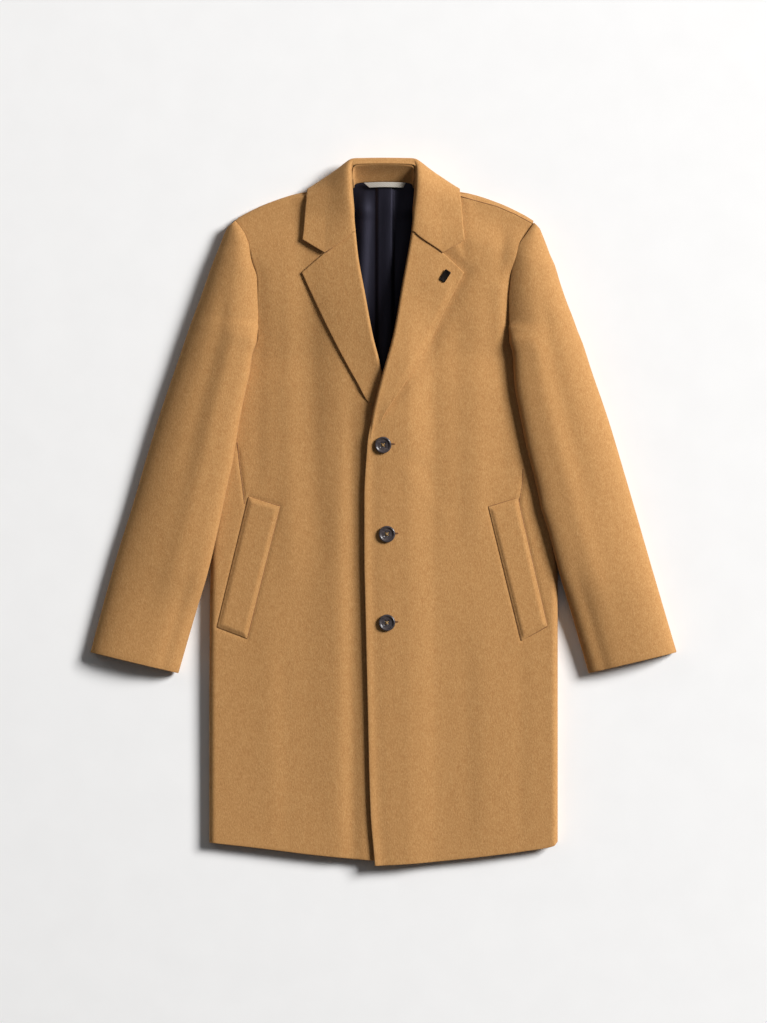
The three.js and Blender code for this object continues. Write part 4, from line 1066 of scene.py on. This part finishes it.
# %% Camel wool coating
def wool_material(name, turn=0.0):
    """Nap of 0.8 mm fibres drawn as 1.9 mm flecks so that they show, an 8 mm mottle and a soft sheen."""
    material, tree, shader, coords = new_material(name, 0.94, Sheen_Weight=0.22, Sheen_Roughness=0.45)
    shader.inputs["Sheen Tint"].default_value = linear("#F2DDBB")
    shader.inputs["Specular IOR Level"].default_value = 0.18
    fleck = noise(tree, coords, 1.9, 4.0, 0.7, (1.0, 0.5, 1.0), turn)
    fine = noise(tree, coords, 0.9, 2.0, 0.6)
    mottle = noise(tree, coords, 8, 4.0, 0.65, (1, 0.6, 1), turn)
    base = ramp(tree, fleck, [(0.30, "#A07043"), (0.50, "#B68753"), (0.70, "#CB9D69")])
    cloud = ramp(tree, mottle, [(0.30, "#AC7C4A"), (0.70, "#BE915C")])
    tree.links.new(mixed(tree, base, cloud, 0.4), shader.inputs["Base Color"])
    bumped(tree, shader, [(mottle, 0.8, 0.3), (fleck, 0.5, 0.8), (fine, 0.2, 0.6)])
    return material


wool = wool_material("camel_wool_melton")
wool_sleeve_right = wool_material("camel_wool_melton_right_sleeve", math.radians(12))
wool_sleeve_left = wool_material("camel_wool_melton_left_sleeve", math.radians(-12))

# %% [markdown]
# Lining satin is a dark, smooth weave with long floats. It is nearly black where it turns away and
# takes a soft blue-grey shine where it faces the light, so it has low roughness and a fine thread bump.

# %% Satin, tape, thread, horn and metal
def satin_material():
    """Threads 0.25 mm apart, drawn at 0.6 mm, that run along the lining."""
    material, tree, shader, coords = new_material(
        "viscose_satin_lining", 0.5, Sheen_Weight=0.2, Sheen_Roughness=0.3)
    shader.inputs["Sheen Tint"].default_value = linear("#6C6A86")
    shader.inputs["Specular Tint"].default_value = linear("#C4C2E4")
    shader.inputs["Specular IOR Level"].default_value = 0.6
    threads_noise = noise(tree, coords, 0.6, 2.0, 0.5, (1, 0.06, 1))
    cloud = noise(tree, coords, 9, 2.0, 0.5, (1, 0.3, 1))
    tree.links.new(ramp(tree, cloud, [(0.3, "#08070C"), (0.7, "#0F0D15")]), shader.inputs["Base Color"])
    bumped(tree, shader, [(cloud, 0.6, 0.3), (threads_noise, 0.08, 0.5)])
    return material


def tape_material():
    """A plain twill tape: slanted ribs 0.9 mm apart."""
    material, tree, shader, coords = new_material("cotton_twill_tape", 0.8)
    mapping = add_node(tree, "ShaderNodeMapping", links={"Vector": coords})
    mapping.inputs["Rotation"].default_value = (0, 0, math.radians(35))
    ribs = add_node(tree, "ShaderNodeTexWave", {"wave_type": "BANDS"}, {"Vector": mapping.outputs["Vector"]},
                    Scale=1 / (0.9 * MM) / 6.283, Distortion=0.4).outputs["Fac"]
    tree.links.new(ramp(tree, ribs, [(0.2, "#9B958C"), (0.8, "#C4BEB4")]), shader.inputs["Base Color"])
    bumped(tree, shader, [(ribs, 0.15, 0.6)])
    return material


def thread_material(name, dark, light, pitch_mm):
    """Twisted thread: fine bands along it."""
    material, tree, shader, coords = new_material(name, 0.7)
    twist = noise(tree, coords, pitch_mm, 2.0, 0.5)
    tree.links.new(ramp(tree, twist, [(0.3, dark), (0.7, light)]), shader.inputs["Base Color"])
    bumped(tree, shader, [(twist, 0.12, 0.6)])
    return material


def horn_material():
    """Polished horn: near-black brown with slow cloudy streaks and faint turning marks."""
    material, tree, shader, coords = new_material("polished_horn", 0.3, Coat_Weight=0.2, Coat_Roughness=0.2)
    cloud = noise(tree, coords, 7, 4.0, 0.6, (1, 2.2, 1), 0.6)
    grain = noise(tree, coords, 1.2, 3.0, 0.6, (1, 5, 1), 0.6)
    streaks = ramp(tree, cloud, [(0.32, "#292527"), (0.55, "#453E40"), (0.75, "#6E625B")])
    fine = ramp(tree, grain, [(0.3, "#2E292B"), (0.8, "#5C5354")])
    tree.links.new(mixed(tree, streaks, fine, 0.35), shader.inputs["Base Color"])
    bumped(tree, shader, [(grain, 0.03, 0.3)])
    return material


def metal_material():
    """Dark plated metal, lightly brushed."""
    material, tree, shader, coords = new_material("black_nickel_plate", 0.32, Metallic=0.85)
    brushed = noise(tree, coords, 0.9, 2.0, 0.5, (1, 0.1, 1), -PIN_TURN)
    tree.links.new(ramp(tree, brushed, [(0.3, "#1B1817"), (0.7, "#3A3330")]), shader.inputs["Base Color"])
    bumped(tree, shader, [(brushed, 0.02, 0.4)])
    return material


satin = satin_material()
tape = tape_material()
hole_thread = thread_material("buttonhole_silk", "#6E4522", "#96683A", 0.9)
button_thread = thread_material("button_thread", "#94713F", "#C9A36A", 0.5)
# near-black brown for the slits: painted shade inside each buttonhole's opening
slit_shade = thread_material("slit_shadow_cloth", "#2A1B10", "#3A2616", 0.8)
# a darker brown for the seam cords: painted shade of the seam grooves, with their pressed nap
seam_groove_shade = thread_material("seam_groove_painted_shade", "#7A4F28", "#8E6236", 1.2)
horn = horn_material()
metal = metal_material()

# %% [markdown]
# Each piece now takes its material, and the solid it stands for is hidden.
# All of them ride on the one body, because a coat has no rigid joints.

# %% Dress the frame
# piece, node it replaces, material, slot
DRESS = [
    (back, "back", wool, "wool"),
    (front_right, "front_right", wool, "wool"),
    (front_left, "front_left", wool, "wool"),
    (facing_right, "facing_right", wool, "wool"),
    (facing_left, "facing_left", wool, "wool"),
    (collar, "collar_leaf", wool, "wool"),
    (stand, "collar_stand", wool, "wool"),
    (sleeves["right", "top"], "sleeve_right_top", wool_sleeve_right, "wool"),
    (sleeves["right", "under"], "sleeve_right_under", wool_sleeve_right, "wool"),
    (sleeves["left", "top"], "sleeve_left_top", wool_sleeve_left, "wool"),
    (sleeves["left", "under"], "sleeve_left_under", wool_sleeve_left, "wool"),
    (welts["right"], "welt_right", wool, "wool"),
    (welts["left"], "welt_left", wool, "wool"),
    (lining, "lining_back", satin, "lining"),
    (loop, "hanger_loop", tape, "tape"),
    (buttons[0], "button_1", horn, "horn"),
    (buttons[1], "button_2", horn, "horn"),
    (buttons[2], "button_3", horn, "horn"),
    (pin, "lapel_pin", metal, "dark_metal"),
]
for piece, node, material, slot in DRESS:
    piece.data.materials.clear()
    piece.data.materials.append(material)
    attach(piece, "root")
    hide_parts(node)
for group, material in (
        (strips, wool), (seams, seam_groove_shade), (threads, button_thread),
        (holes, hole_thread), (slits, slit_shade)):
    for piece in group:
        piece.data.materials.append(material)
        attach(piece, "root")

# cut width and length of each sheet in metres, and the share of that rectangle that the cut fills,
# worked out from the areas that these meshes measure; the hanger's tape is under 8 mm wide,
# narrower than a sheet may be, so it is plain trim
CUTS = {
    "back": (back, 0.56, 1.02, 0.844), "front_right": (front_right, 0.32, 1.02, 0.774),
    "front_left": (front_left, 0.32, 1.03, 0.762), "facing_right": (facing_right, 0.10, 0.30, 0.585),
    "facing_left": (facing_left, 0.10, 0.34, 0.532), "collar": (collar, 0.10, 0.42, 0.807),
    "stand": (stand, 0.030, 0.14, 0.871),
    "sleeve_right_top": (sleeves["right", "top"], 0.17, 0.69, 0.744),
    "sleeve_right_under": (sleeves["right", "under"], 0.16, 0.69, 0.780),
    "sleeve_left_top": (sleeves["left", "top"], 0.17, 0.69, 0.749),
    "sleeve_left_under": (sleeves["left", "under"], 0.16, 0.69, 0.786),
    "welt_right": (welts["right"], 0.050, 0.209, 0.996), "welt_left": (welts["left"], 0.046, 0.208, 0.998),
    "lining": (lining, 0.16, 0.35, 0.774),
}
for name, (piece, width, length, filled) in CUTS.items():
    print("cut", name, "measured", round(area_of(piece), 4), "stated", round(width * length * filled, 4))

# %% [markdown]
# The picture is a flat lay: a white table, a camera straight above, and a large soft light from the
# upper right that leaves a gentle shadow at the lower left. The camera stands far off with a long
# lens, so that the raised chest isn't drawn larger than the hem.

# %% Table, lights and camera
VIEW_HEIGHT = 1.5345
CAMERA_HEIGHT = 10.0


def table():
    """A plane far larger than the view, just under the coat."""
    corners = np.array([(-6, -6, -0.0004), (6, -6, -0.0004), (6, 6, -0.0004), (-6, 6, -0.0004)])
    piece = mesh_piece("table", corners, np.array([[0, 1, 2, 3]]))
    material, tree, shader, coords = new_material("matt_white_laminate", 0.9)
    grain = noise(tree, coords, 60, 2.0, 0.5)
    tree.links.new(ramp(tree, grain, [(0.3, "#F4F4F4"), (0.7, "#F6F6F6")]), shader.inputs["Base Color"])
    shader.inputs["Specular IOR Level"].default_value = 0.1
    piece.data.materials.append(material)
    return piece


def area_light(name, place, target, size, power, colour):
    """A square lamp at a place, turned to a target."""
    lamp = bpy.data.lights.new(name, "AREA")
    lamp.shape = "SQUARE"
    lamp.size = size
    lamp.energy = power
    lamp.color = linear(colour)[:3]
    item = bpy.data.objects.new(name, lamp)
    item.location = place
    way = np.array(target, float) - np.array(place, float)
    item.rotation_euler = Vector(way).to_track_quat("-Z", "Y").to_euler()
    bpy.context.scene.collection.objects.link(item)
    return item


def camera():
    """A long lens straight above the centre, whose long side takes in the view's height."""
    lens = bpy.data.cameras.new("camera")
    lens.sensor_fit = "AUTO"
    lens.sensor_width = 36.0
    lens.lens = 36.0 * CAMERA_HEIGHT / VIEW_HEIGHT
    lens.clip_end = 50.0
    item = bpy.data.objects.new("camera", lens)
    item.location = (0, 0, CAMERA_HEIGHT)
    bpy.context.scene.collection.objects.link(item)
    bpy.context.scene.camera = item
    return item


table()
area_light("key", (12.4, 6.4, 9.6), (0, 0, 0), 5.6, 4620, "#FFFEFD")
area_light("side", (-5, 4, 3.5), (0, 0, 0), 1.6, 22, "#FFFFFF")
area_light("top", (0.3, 1.2, 4.2), (0, 0, 0), 3.0, 8, "#FFFFFF")
camera()
world = bpy.data.worlds.new("studio")
world.use_nodes = True
world.node_tree.nodes["Background"].inputs["Color"].default_value = (1, 1, 1, 1)
world.node_tree.nodes["Background"].inputs["Strength"].default_value = 0.045
bpy.context.scene.world = world
bpy.context.scene.view_settings.view_transform = "Standard"
bpy.context.scene.view_settings.exposure = 0.0
